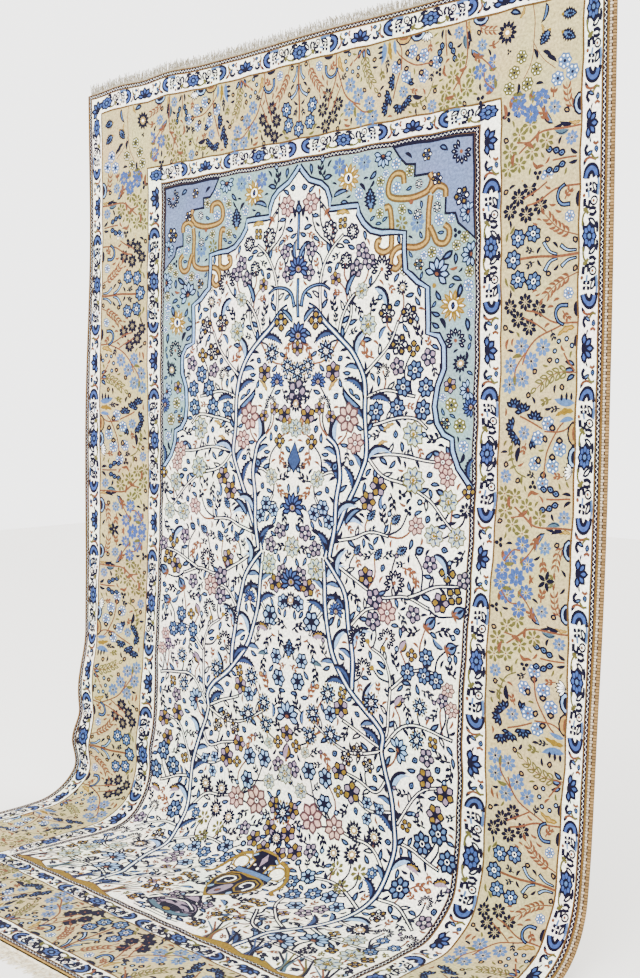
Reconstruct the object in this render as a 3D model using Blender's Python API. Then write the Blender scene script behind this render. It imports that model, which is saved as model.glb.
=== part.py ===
"""Hand-knotted prayer rug, hung by its upper end, with its lower end swept out flat on the floor.

The rug is one thick cloth. Its back follows one falling curve from the wall to the floor, and a few
soft swells lift it off that curve. An overcast cord runs down each long side, and each end has a
narrow flat-woven strip whose warp ends stand out as fringe.
"""
import math
import random

import bpy
import bmesh

# Driving sizes, in metres
PILE_WIDTH = 1.380
PILE_LENGTH = 2.195
CLOTH_THICKNESS = 0.009
CLEARANCE = 0.0003

# The cords along the long sides: the near side shows two overcast ribs, the far side one
LEFT_CORD_WIDTH = 0.006
RIGHT_CORD_WIDTH = 0.012
RIB_WIDTH = 0.006
CORD_THICKNESS = 0.008
RIB_STEPS = 3

# The fringed end strips
STRIP_DEPTH = 0.006
STRIP_THICKNESS = 0.003
LOCKS_PER_END = 96
LOCK_SHARE = 0.45
TOP_FRINGE = 0.024
BOTTOM_FRINGE = 0.038
FULL_LOCK_EVERY = 6

# The falling curve of the back. Columns: metres down the rug, degrees off plumb
FALL = (
    (0.00, 0.0),
    (0.78, 0.0),
    (1.17, 5.2),
    (1.32, 3.2),
    (1.42, 3.7),
    (1.53, 7.8),
    (1.594, 30.7),
    (1.658, 59.5),
    (1.732, 86.9),
    (1.795, 90.0),
    (PILE_LENGTH, 90.0),
)

# Soft swells towards the viewer. Columns: across from the middle, down from the top,
# reach across, reach down, height, all in metres
SWELLS = (
    (-0.69, 0.85, 0.22, 0.60, 0.023),
    (-0.69, 1.40, 0.26, 0.14, 0.020),
    (-0.69, 1.525, 0.22, 0.08, 0.028),
    (0.69, 0.90, 0.22, 0.45, 0.004),
)

# Rises of the uneven upper edge. Columns: across from the middle, reach across, rise, in metres
TOP_RISES = (
    (-0.57, 0.10, 0.005),
    (-0.40, 0.11, 0.006),
    (0.05, 0.24, 0.003),
)
TOP_RISE_REACH = 0.22

# Rows of the cloth's mesh. Columns: first and last metre down the rug, number of steps
ROW_BANDS = (
    (0.00, 0.12, 3),
    (0.12, 0.60, 5),
    (0.60, 1.26, 9),
    (1.26, 1.44, 7),
    (1.44, 1.80, 24),
    (1.80, PILE_LENGTH, 3),
)
COLUMN_STEPS = 28
CURVE_STEP = 0.001

# The frame stands at the middle of the whole part's footprint, on the floor
FOOTPRINT_SHIFT_X = (LEFT_CORD_WIDTH - RIGHT_CORD_WIDTH) / 2


def clear_scene():
    for thing in list(bpy.data.objects):
        bpy.data.objects.remove(thing, do_unlink=True)


def slope_at(down):
    """Degrees off plumb at a distance down the rug, read from FALL."""
    for (start, low), (end, high) in zip(FALL, FALL[1:]):
        if down <= end:
            return low + (high - low) * (down - start) / (end - start)
    return FALL[-1][1]


def falling_curve():
    """Points (y, z) of the back's middle line every CURVE_STEP, summed up from the floor end."""
    count = round(PILE_LENGTH / CURVE_STEP)
    points = [(0.0, 0.0)]
    for index in range(count, 0, -1):
        slope = math.radians(slope_at((index - 0.5) * CURVE_STEP))
        y, z = points[-1]
        points.append((y + math.sin(slope) * CURVE_STEP, z + math.cos(slope) * CURVE_STEP))
    points.reverse()
    wall = points[0][0]
    return [(y - wall, z) for y, z in points]


CURVE = falling_curve()
RUG_HEIGHT = CURVE[0][1]
FLOOR_REACH = -CURVE[-1][0]
FOOTPRINT_SHIFT_Y = (FLOOR_REACH + CLEARANCE + STRIP_DEPTH + BOTTOM_FRINGE) / 2


def window(distance, reach):
    """A smooth hump: one at the middle, nothing at its reach."""
    share = abs(distance) / reach
    if share >= 1.0:
        return 0.0
    return 0.5 + 0.5 * math.cos(math.pi * share)


def swell_at(across, down):
    total = 0.0
    for middle, level, reach_across, reach_down, height in SWELLS:
        total += height * window(across - middle, reach_across) * window(down - level, reach_down)
    return total


def top_rise_at(across, down):
    if down >= TOP_RISE_REACH:
        return 0.0
    rise = sum(height * window(across - middle, reach) for middle, reach, height in TOP_RISES)
    return rise * (1.0 - down / TOP_RISE_REACH)


def place(across, down, height):
    """World point at a place on the rug, a height above its back."""
    position = min(down / CURVE_STEP, len(CURVE) - 1.000001)
    index = int(position)
    part = position - index
    y = CURVE[index][0] * (1.0 - part) + CURVE[index + 1][0] * part
    z = CURVE[index][1] * (1.0 - part) + CURVE[index + 1][1] * part
    slope = math.radians(slope_at(down))
    lift = height + swell_at(across, down)
    return (
        across + FOOTPRINT_SHIFT_X,
        y - math.cos(slope) * lift + FOOTPRINT_SHIFT_Y,
        z + math.sin(slope) * lift + top_rise_at(across, down),
    )


def place_on_end(across, down, height):
    """World point on an end of the cloth, on the straight run between two of its columns."""
    position = (across / PILE_WIDTH + 0.5) * COLUMN_STEPS
    index = min(max(int(position), 0), COLUMN_STEPS - 1)
    part = position - index
    left = place(PILE_WIDTH * (index / COLUMN_STEPS - 0.5), down, height)
    right = place(PILE_WIDTH * ((index + 1) / COLUMN_STEPS - 0.5), down, height)
    return tuple(a * (1.0 - part) + b * part for a, b in zip(left, right))


def row_stations():
    stations = [0.0]
    for start, end, steps in ROW_BANDS:
        for step in range(1, steps + 1):
            stations.append(start + (end - start) * step / steps)
    return stations


def add_object(name, mesh_builder, material):
    mesh = bpy.data.meshes.new(name)
    mesh_builder.normal_update()
    mesh_builder.to_mesh(mesh)
    mesh_builder.free()
    mesh.materials.append(material)
    thing = bpy.data.objects.new(name, mesh)
    bpy.context.scene.collection.objects.link(thing)
    return thing


def yarn_material(name, colour, roughness):
    material = bpy.data.materials.new(name)
    material.use_nodes = True
    shader = material.node_tree.nodes["Principled BSDF"]
    shader.inputs["Base Color"].default_value = (*colour, 1.0)
    shader.inputs["Roughness"].default_value = roughness
    shader.inputs["Metallic"].default_value = 0.0
    material.diffuse_color = (*colour, 1.0)
    return material


def build_rug():
    """The knotted cloth: a front and a back sheet of the same grid, walled round their rim."""
    build = bmesh.new()
    stations = row_stations()
    sheets = []
    for height in (CLOTH_THICKNESS, 0.0):
        rows = []
        for down in stations:
            row = []
            for step in range(COLUMN_STEPS + 1):
                across = PILE_WIDTH * (step / COLUMN_STEPS - 0.5)
                row.append(build.verts.new(place(across, down, height)))
            rows.append(row)
        sheets.append(rows)
    front, back = sheets
    last = len(stations) - 1
    for j in range(last):
        for i in range(COLUMN_STEPS):
            build.faces.new((front[j][i], front[j + 1][i], front[j + 1][i + 1], front[j][i + 1]))
            build.faces.new((back[j][i], back[j][i + 1], back[j + 1][i + 1], back[j + 1][i]))
        build.faces.new((front[j][0], back[j][0], back[j + 1][0], front[j + 1][0]))
        edge = COLUMN_STEPS
        build.faces.new((front[j][edge], front[j + 1][edge], back[j + 1][edge], back[j][edge]))
    for i in range(COLUMN_STEPS):
        build.faces.new((front[0][i], front[0][i + 1], back[0][i + 1], back[0][i]))
        build.faces.new((front[last][i], back[last][i], back[last][i + 1], front[last][i + 1]))
    material = yarn_material("wool_pile", (0.72, 0.66, 0.52), 0.9)
    return add_object("rug", build, material)


def cord_section(width):
    """Outline of a side cord, as (out from the rug, above the back): ribs side by side."""
    ribs = round(width / RIB_WIDTH)
    steps = ribs * RIB_STEPS + (1 if ribs == 1 else 0)
    middle = CLOTH_THICKNESS / 2
    upper = []
    lower = []
    for step in range(steps + 1):
        out = width * step / steps
        phase = (out / RIB_WIDTH) % 1.0
        if step == steps:
            phase = 0.0
        crown = math.sqrt(1.0 - 0.75 * (2.0 * phase - 1.0) ** 2)
        upper.append((out, middle + CORD_THICKNESS / 2 * crown))
        lower.append((out, middle - CORD_THICKNESS / 2 * crown))
    return upper + lower[::-1]


def build_side_cord(name, side, width):
    """One overcast cord, swept down its edge of the rug. side is -1 at the left, 1 at the right."""
    build = bmesh.new()
    outline = cord_section(width)
    rings = []
    for down in row_stations():
        ring = []
        for out, height in outline:
            edge = side * PILE_WIDTH / 2
            x, y, z = place(edge, down, height)
            ring.append(build.verts.new((x + side * (CLEARANCE + out), y, z)))
        rings.append(ring)
    count = len(outline)
    for upper, lower in zip(rings, rings[1:]):
        for i in range(count):
            k = (i + 1) % count
            build.faces.new((upper[i], lower[i], lower[k], upper[k]))
    build.faces.new(rings[0])
    build.faces.new(rings[-1][::-1])
    bmesh.ops.recalc_face_normals(build, faces=build.faces[:])
    return add_object(name, build, yarn_material(name + "_wool", (0.70, 0.50, 0.29), 0.85))


# Bends of a lock. Columns: share of its length, share of its root size, share of its sway
TOP_LOCK_STEPS = (
    (0.45, 0.85, 1.0),
    (1.00, 0.40, -0.4),
)
BOTTOM_LOCK_STEPS = (
    (0.50, 0.85, 0.6),
    (1.00, 0.45, -0.7),
)
LOCK_SWAY = 0.0035


def build_fringe(name, seed, length, steps, corner, outward):
    """An end strip with locks drawn out of its outer face.

    corner(across, out, height) gives the world point at a distance out from the rug's end and
    a height above the rug's back. outward(start, heel, size, reach, sway) moves a corner of a lock
    from its start in the root, about the root's middle, the heel, to its place along the lock.
    """
    rng = random.Random(seed)
    build = bmesh.new()
    pitch = PILE_WIDTH / LOCKS_PER_END
    spare = pitch * (1.0 - LOCK_SHARE) / 2
    lines = [-PILE_WIDTH / 2]
    for lock in range(LOCKS_PER_END):
        start = -PILE_WIDTH / 2 + lock * pitch
        lines += [start + spare, start + pitch - spare]
    lines.append(PILE_WIDTH / 2)
    corners = []
    for across in lines:
        outline = (
            (0.0, 0.0),
            (0.0, STRIP_THICKNESS),
            (STRIP_DEPTH, STRIP_THICKNESS),
            (STRIP_DEPTH, 0.0),
        )
        corners.append([build.verts.new(corner(across, out, height)) for out, height in outline])
    roots = []
    for index, (left, right) in enumerate(zip(corners, corners[1:])):
        for i in range(4):
            k = (i + 1) % 4
            face = build.faces.new((left[i], right[i], right[k], left[k]))
            if i == 2 and index % 2 == 1:
                roots.append(face)
    build.faces.new(corners[0])
    build.faces.new(corners[-1][::-1])
    for lock, root in enumerate(roots):
        reach = length if lock % FULL_LOCK_EVERY == 0 else length * rng.uniform(0.62, 0.98)
        sway = LOCK_SWAY * rng.uniform(-1.0, 1.0)
        base = [vertex.co.copy() for vertex in root.verts]
        heel = (base[0] + base[1] + base[2] + base[3]) / 4
        face = root
        for share, size, swing in steps:
            grown = bmesh.ops.extrude_discrete_faces(build, faces=[face])
            face = grown["faces"][0]
            for vertex, start in zip(face.verts, base):
                vertex.co = outward(start, heel, size, reach * share, sway * swing)
    bmesh.ops.recalc_face_normals(build, faces=build.faces[:])
    return add_object(name, build, yarn_material(name + "_cotton", (0.78, 0.71, 0.58), 0.9))


def top_corner(across, out, height):
    x, y, z = place_on_end(across, 0.0, height)
    return (x, y, z + CLEARANCE + out)


def top_step(start, heel, size, reach, sway):
    """A lock of the upper end stands up and narrows about its own root."""
    point = heel + (start - heel) * size
    point.x += sway
    point.z += reach
    return point


def bottom_corner(across, out, height):
    x, y, z = place_on_end(across, PILE_LENGTH, height)
    return (x, y - CLEARANCE - out, z)


def bottom_step(start, heel, size, reach, sway):
    """A lock of the lower end lies level on the floor, and thins from above only."""
    point = heel + (start - heel) * size
    point.x += sway
    point.y = start.y - reach
    point.z = start.z * size
    return point


clear_scene()
build_rug()
build_side_cord("selvedge_left", -1, LEFT_CORD_WIDTH)
build_side_cord("selvedge_right", 1, RIGHT_CORD_WIDTH)
build_fringe("fringe_top", 11, TOP_FRINGE, TOP_LOCK_STEPS, top_corner, top_step)
build_fringe("fringe_bottom", 23, BOTTOM_FRINGE, BOTTOM_LOCK_STEPS, bottom_corner, bottom_step)
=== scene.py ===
"""Visual model of a hand-knotted prayer rug, hung by its upper end and swept out onto the floor.

Ivory field with a stepped arch, a flowering tree over a vase, and a beige main border between two
ivory guard bands. The knotted pattern is laid out flat in millimetres, x across from the middle and
y down from the upper end, as complex numbers x + iy. It is then cut into a mosaic of plain-coloured
facets, and laid on the hanging cloth.
"""
import math
import random

import bmesh
import bpy
import numpy as np
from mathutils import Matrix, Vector
from mathutils.geometry import delaunay_2d_cdt


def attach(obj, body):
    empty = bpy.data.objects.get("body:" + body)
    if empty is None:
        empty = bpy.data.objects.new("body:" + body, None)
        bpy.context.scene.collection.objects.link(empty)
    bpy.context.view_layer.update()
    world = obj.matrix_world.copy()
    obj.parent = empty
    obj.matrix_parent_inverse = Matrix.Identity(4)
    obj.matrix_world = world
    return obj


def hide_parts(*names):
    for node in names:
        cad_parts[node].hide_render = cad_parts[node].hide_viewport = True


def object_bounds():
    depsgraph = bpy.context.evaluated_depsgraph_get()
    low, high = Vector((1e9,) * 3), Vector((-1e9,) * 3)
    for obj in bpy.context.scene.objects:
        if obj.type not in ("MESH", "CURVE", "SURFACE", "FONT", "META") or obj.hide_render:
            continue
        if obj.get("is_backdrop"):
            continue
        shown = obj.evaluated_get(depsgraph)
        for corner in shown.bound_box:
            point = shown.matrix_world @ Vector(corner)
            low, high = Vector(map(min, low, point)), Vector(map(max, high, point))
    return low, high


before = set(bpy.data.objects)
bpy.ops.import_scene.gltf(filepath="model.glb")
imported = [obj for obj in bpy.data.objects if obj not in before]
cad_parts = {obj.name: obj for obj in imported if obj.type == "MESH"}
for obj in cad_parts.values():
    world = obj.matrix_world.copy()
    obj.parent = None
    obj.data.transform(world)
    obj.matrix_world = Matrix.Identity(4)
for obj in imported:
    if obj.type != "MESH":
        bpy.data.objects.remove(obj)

cad_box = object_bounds()


# The camera. It stands to the right of the rug at about a metre's height and looks down a little.
viewer = bpy.data.objects.new("viewer", bpy.data.cameras.new("viewer"))
bpy.context.scene.collection.objects.link(viewer)
viewer.location = (1.7577, -1.4551, 0.9576)
viewer.rotation_euler = (math.radians(90.0 - 4.29), 0.0, math.radians(43.58))
viewer.data.sensor_fit = "VERTICAL"
viewer.data.sensor_height = 36.0
viewer.data.lens = 46.0
bpy.context.scene.camera = viewer


# The woven foundation: cotton warps and wefts, seen on the back, where each knot shows as a small
# bar. It is one thick cloth that falls from the wall to the floor in a single curve, with a few soft
# swells, and everything else on the rug is laid out on it.
PILE_WIDTH = 1.380
PILE_LENGTH = 2.195
CLOTH_THICKNESS = 0.009
END_SPACE = 0.0003 + 0.006 + 0.038
MIDDLE_X = -0.003
STEP = 0.001
# Metres down the rug, degrees off plumb
FALL = np.array((
    (0.00, 0.0), (0.78, 0.0), (1.17, 5.2), (1.32, 3.2), (1.42, 3.7), (1.53, 7.8),
    (1.594, 30.7), (1.658, 59.5), (1.732, 86.9), (1.795, 90.0), (PILE_LENGTH, 90.0),
))
# Across from the middle, down from the top, reach across, reach down, height
SWELLS = (
    (-0.69, 0.85, 0.22, 0.60, 0.023),
    (-0.69, 1.40, 0.26, 0.14, 0.020),
    (-0.69, 1.525, 0.22, 0.08, 0.028),
    (0.69, 0.90, 0.22, 0.45, 0.004),
)
# Across from the middle, reach across, rise of the uneven upper edge
TOP_RISES = ((-0.57, 0.10, 0.005), (-0.40, 0.11, 0.006), (0.05, 0.24, 0.003))
TOP_RISE_REACH = 0.22


def falling_curve():
    """Back's middle line: y and z at every STEP, summed up from the floor end."""
    middles = (np.arange(round(PILE_LENGTH / STEP)) + 0.5) * STEP
    slopes = np.radians(np.interp(middles, FALL[:, 0], FALL[:, 1]))
    back = np.append(np.cumsum(np.sin(slopes)[::-1])[::-1], 0.0) * STEP
    up = np.append(np.cumsum(np.cos(slopes)[::-1])[::-1], 0.0) * STEP
    return back - back[0], up


CURVE_Y, CURVE_Z = falling_curve()
MIDDLE_Y = (END_SPACE - CURVE_Y[-1]) / 2


def hump(distance, reach):
    """One at the middle, nothing at its reach."""
    return 0.5 + 0.5 * np.cos(np.pi * np.minimum(np.abs(distance) / reach, 1.0))


def on_cloth(across, down, height):
    """World points at places on the rug, in metres, a height above its back."""
    across, down = np.asarray(across, float), np.asarray(down, float)
    slope = np.radians(np.interp(down, FALL[:, 0], FALL[:, 1]))
    lift = height + sum(
        rise * hump(across - middle, wide) * hump(down - level, tall)
        for middle, level, wide, tall, rise in SWELLS
    )
    edge = sum(rise * hump(across - middle, wide) for middle, wide, rise in TOP_RISES)
    steps = np.arange(len(CURVE_Y)) * STEP
    return np.stack((
        across + MIDDLE_X,
        np.interp(down, steps, CURVE_Y) - np.cos(slope) * lift + MIDDLE_Y,
        np.interp(down, steps, CURVE_Z) + np.sin(slope) * lift
        + edge * np.clip(1.0 - down / TOP_RISE_REACH, 0.0, 1.0),
    ), axis=-1)


def add_mesh(name, points, faces, material):
    mesh = bpy.data.meshes.new(name)
    mesh.from_pydata(points.tolist(), [], faces)
    mesh.materials.append(material)
    thing = bpy.data.objects.new(name, mesh)
    bpy.context.scene.collection.objects.link(thing)
    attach(thing, "root")
    return thing


def linear(code):
    """Linear RGBA of an sRGB hex colour."""
    parts = [int(code[k:k + 2], 16) / 255 for k in (1, 3, 5)]
    return [p / 12.92 if p <= 0.04045 else ((p + 0.055) / 1.055) ** 2.4 for p in parts] + [1.0]


def add_node(tree, kind, settings={}, links={}):
    """A node with its settings. Links go from an input's name or index to an output socket or a value."""
    node = tree.nodes.new(kind)
    for name, value in settings.items():
        setattr(node, name, value)
    for key, value in links.items():
        if isinstance(value, bpy.types.NodeSocket):
            tree.links.new(value, node.inputs[key])
        else:
            node.inputs[key].default_value = value
    return node


def new_material(name):
    material = bpy.data.materials.new(name)
    material.use_nodes = True
    return material, material.node_tree, material.node_tree.nodes["Principled BSDF"]


def foundation_cotton():
    """Ivory cotton warps and wefts, darker where dust has settled between the threads."""
    material, tree, shader = new_material("foundation_cotton")
    place = add_node(tree, "ShaderNodeTexCoord")
    threads = add_node(tree, "ShaderNodeTexNoise", {}, {"Vector": place.outputs["Object"], "Scale": 320.0, "Detail": 2.0})
    ramp = add_node(tree, "ShaderNodeValToRGB", {}, {0: threads.outputs[0]})
    ramp.color_ramp.elements[0].position = 0.3
    ramp.color_ramp.elements[0].color = linear("#8C7E62")
    ramp.color_ramp.elements[1].position = 0.6
    ramp.color_ramp.elements[1].color = linear("#CFC4AB")
    tree.links.new(ramp.outputs[0], shader.inputs["Base Color"])
    shader.inputs["Roughness"].default_value = 0.92
    return material


def build_foundation():
    across = np.linspace(-PILE_WIDTH / 2, PILE_WIDTH / 2, 57)
    down = np.concatenate((np.linspace(0.0, 1.44, 60), np.linspace(1.45, 1.80, 36), np.linspace(1.82, PILE_LENGTH, 16)))
    columns, rows = len(across), len(down)
    grid_a, grid_d = np.meshgrid(across, down)
    points = np.concatenate([on_cloth(grid_a, grid_d, h).reshape(-1, 3) for h in (0.006, 0.0025)])
    cells = [(j * columns + i, (j + 1) * columns + i) for j in range(rows - 1) for i in range(columns - 1)]
    base = columns * rows
    faces = [(a, b, b + 1, a + 1) for a, b in cells]
    faces += [(base + a, base + a + 1, base + b + 1, base + b) for a, b in cells]
    for j in range(rows - 1):
        left, right = j * columns, j * columns + columns - 1
        faces.append((left, base + left, base + left + columns, left + columns))
        faces.append((right, right + columns, base + right + columns, base + right))
    for i in range(columns - 1):
        low = (rows - 1) * columns + i
        faces.append((i, i + 1, base + i + 1, base + i))
        faces.append((low, base + low, base + low + 1, low + 1))
    thing = add_mesh("foundation", points, faces, foundation_cotton())
    thing.data.shade_smooth()
    thing.data.set_sharp_from_angle(angle=math.radians(50))
    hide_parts("rug")
    return thing


foundation = build_foundation()


# The knotted wool pile: low clipped pile, about two knots to every four millimetres, in dyed wools.
# Each motif is drawn as a knotter reads it off the plan, with a dark outline and its filling.
INKS = {
    "ivory": "#EDEADA", "beige": "#A3956A", "navy": "#070519", "indigo": "#0D0631", "blue": "#243357",
    "sky": "#3E5880", "pale": "#7494BA", "aqua": "#728A8B", "peri": "#2E4274", "corner": "#566382",
    "ochre": "#4C3619", "gold": "#695216", "rust": "#5B3522", "rose": "#40292C", "pink": "#B48F84",
    "lilac": "#7B697B", "olive": "#4B4722", "slate": "#10101F", "white": "#F3F2EA", "plum": "#1F1422",
    "teal": "#364C59", "tan": "#90723B", "mist": "#9BA79B",
}
INK_NAMES = list(INKS)
LINE = 4.2


def petal(length, width, fullness=1.5, steps=5):
    """Teardrop from the origin towards +x, fullest near its tip."""
    along = np.linspace(0.0, 1.0, steps)
    half = width / 2 * np.sin(np.pi * along ** fullness)
    upper = length * along - 1j * half
    return np.concatenate((upper, np.conj(upper[::-1][1:-1])))


def leaf(length, width, bend=0.0, teeth=0, steps=6):
    """Pointed leaf from the origin towards +x, bending by some degrees, toothed or plain."""
    count = max(steps, teeth * 2 + 1)
    along = np.linspace(0.0, 1.0, count)
    spine = length * along * np.exp(1j * math.radians(bend) * (along - 0.5))
    half = width / 2 * np.sin(np.pi * along ** 0.85) ** 0.8
    if teeth:
        half = half * np.where(np.arange(count) % 2, 1.0, 0.62)
    side = np.gradient(spine)
    side = 1j * side / np.abs(side)
    return np.concatenate((spine - side * half, (spine + side * half)[::-1][1:-1]))


def ellipse(wide, tall, steps=10):
    angles = np.arange(steps) * 2 * np.pi / steps
    return wide / 2 * np.cos(angles) + 1j * tall / 2 * np.sin(angles)


def ribbon(points, start, end=None, steps=4):
    """Band along a smooth line through some points, from one width to another."""
    points = np.array(points, complex)
    ends = np.concatenate(([2 * points[0] - points[1]], points, [2 * points[-1] - points[-2]]))
    t = np.linspace(0.0, 1.0, steps, endpoint=False)
    line = []
    for a, b, c, d in zip(ends, ends[1:], ends[2:], ends[3:]):
        line.append(0.5 * (2 * b + (c - a) * t + (2 * a - 5 * b + 4 * c - d) * t ** 2 + (3 * b - a - 3 * c + d) * t ** 3))
    line = np.append(np.concatenate(line), points[-1])
    half = np.linspace(start, start if end is None else end, len(line)) / 2
    side = np.gradient(line)
    side = 1j * side / np.maximum(np.abs(side), 1e-9)
    return np.concatenate((line - side * half, (line + side * half)[::-1]))


def area(points):
    return np.sum(points.real * np.roll(points.imag, -1) - np.roll(points.real, -1) * points.imag) / 2


def inset(points, line):
    """The outline moved inwards by a line's width."""
    points = points if area(points) > 0 else points[::-1]
    before = points - np.roll(points, 1)
    after = np.roll(points, -1) - points
    before = before / np.maximum(np.abs(before), 1e-9)
    after = after / np.maximum(np.abs(after), 1e-9)
    side = 1j * (before + after)
    reach = np.maximum(np.abs(side) ** 2 / 2, 0.5)
    return points + side * line / reach


def lined(points, edge, fill, line=LINE):
    return [(edge, points), (fill, inset(points, line))]


def moved(shapes, at, size=1.0, turn=0.0, flip=False):
    spin = size * np.exp(1j * math.radians(turn))
    return [(ink, at + (np.conj(p) if flip else p) * spin) for ink, p in shapes]


def spread(shapes, count, arc=360.0, out=0.0):
    """Copies of a shape fanned about the origin, evenly over an arc centred on +x."""
    gap = arc / count if arc == 360.0 else arc / (count - 1)
    first = 0.0 if arc == 360.0 else -arc / 2
    copies = []
    for k in range(count):
        turn = first + k * gap
        copies += moved(shapes, out * np.exp(1j * math.radians(turn)), 1.0, turn)
    return copies


def disc(ink, across):
    return [(ink, ellipse(across, across, 8 if across > 9 else 6))]


def flower(count, reach, width, edge, fill, heart, inner=0.0, fullness=1.4, line=LINE):
    """Lined petals round a heart."""
    blade = petal(reach - inner, width, fullness)
    if edge is None:
        return spread([(fill, blade)], count, out=inner) + heart
    shapes = spread([(edge, blade)], count, out=inner)
    return shapes + spread([(fill, inset(blade, line))], count, out=inner) + heart


def two_toned(count, reach, width, edge, first, second, heart, inner=0.0, fullness=1.4, line=LINE):
    """A flower whose petals change between two dyes."""
    shapes = flower(count, reach, width, edge, first, [], inner, fullness, line)
    blade = inset(petal(reach - inner, width, fullness), line)
    return shapes + moved(spread([(second, blade)], count // 2, out=inner), 0, 1.0, 360.0 / count) + heart


def twig(ink):
    """Short stem with two pairs of leaflets."""
    shapes = [(ink, ribbon((-13 + 2j, 0j, 13 + 3j), 3.4, 2.6, 2))]
    for foot in (-6, 3):
        for lean in (-46, 46):
            shapes += moved([(ink, leaf(12, 6.2, 20, 0, 4))], foot, 1.0, lean, lean > 0)
    return shapes


def spray(ink, tip):
    """Curved stem with five leaves and a bud at its end, centred on its middle."""
    shapes = [(ink, ribbon((-20 + 6j, -6 - 1j, 7 - 1j, 16 + 4j), 4.0, 3.0, 2))]
    for foot, lean in ((-13 + 2j, 50), (-10 + 1j, -46), (-2 - 1j, 44), (1 - 1j, -42), (9, 40)):
        shapes += moved([(ink, leaf(15, 7.6, 24, 0, 4))], foot, 1.0, lean, lean > 0)
    return shapes + moved(lined(leaf(15, 13), ink, tip, 3.4), 13 + 3j, 1.0, 20)


def fan(count, arc, reach, width, edge, fill, heart, inner=0.0, fullness=1.2, line=1.9):
    blade = petal(reach - inner, width, fullness)
    shapes = spread([(edge, blade)], count, arc, inner)
    shapes += spread([(fill, inset(blade, line))], count, arc, inner)
    return shapes + heart


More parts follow.
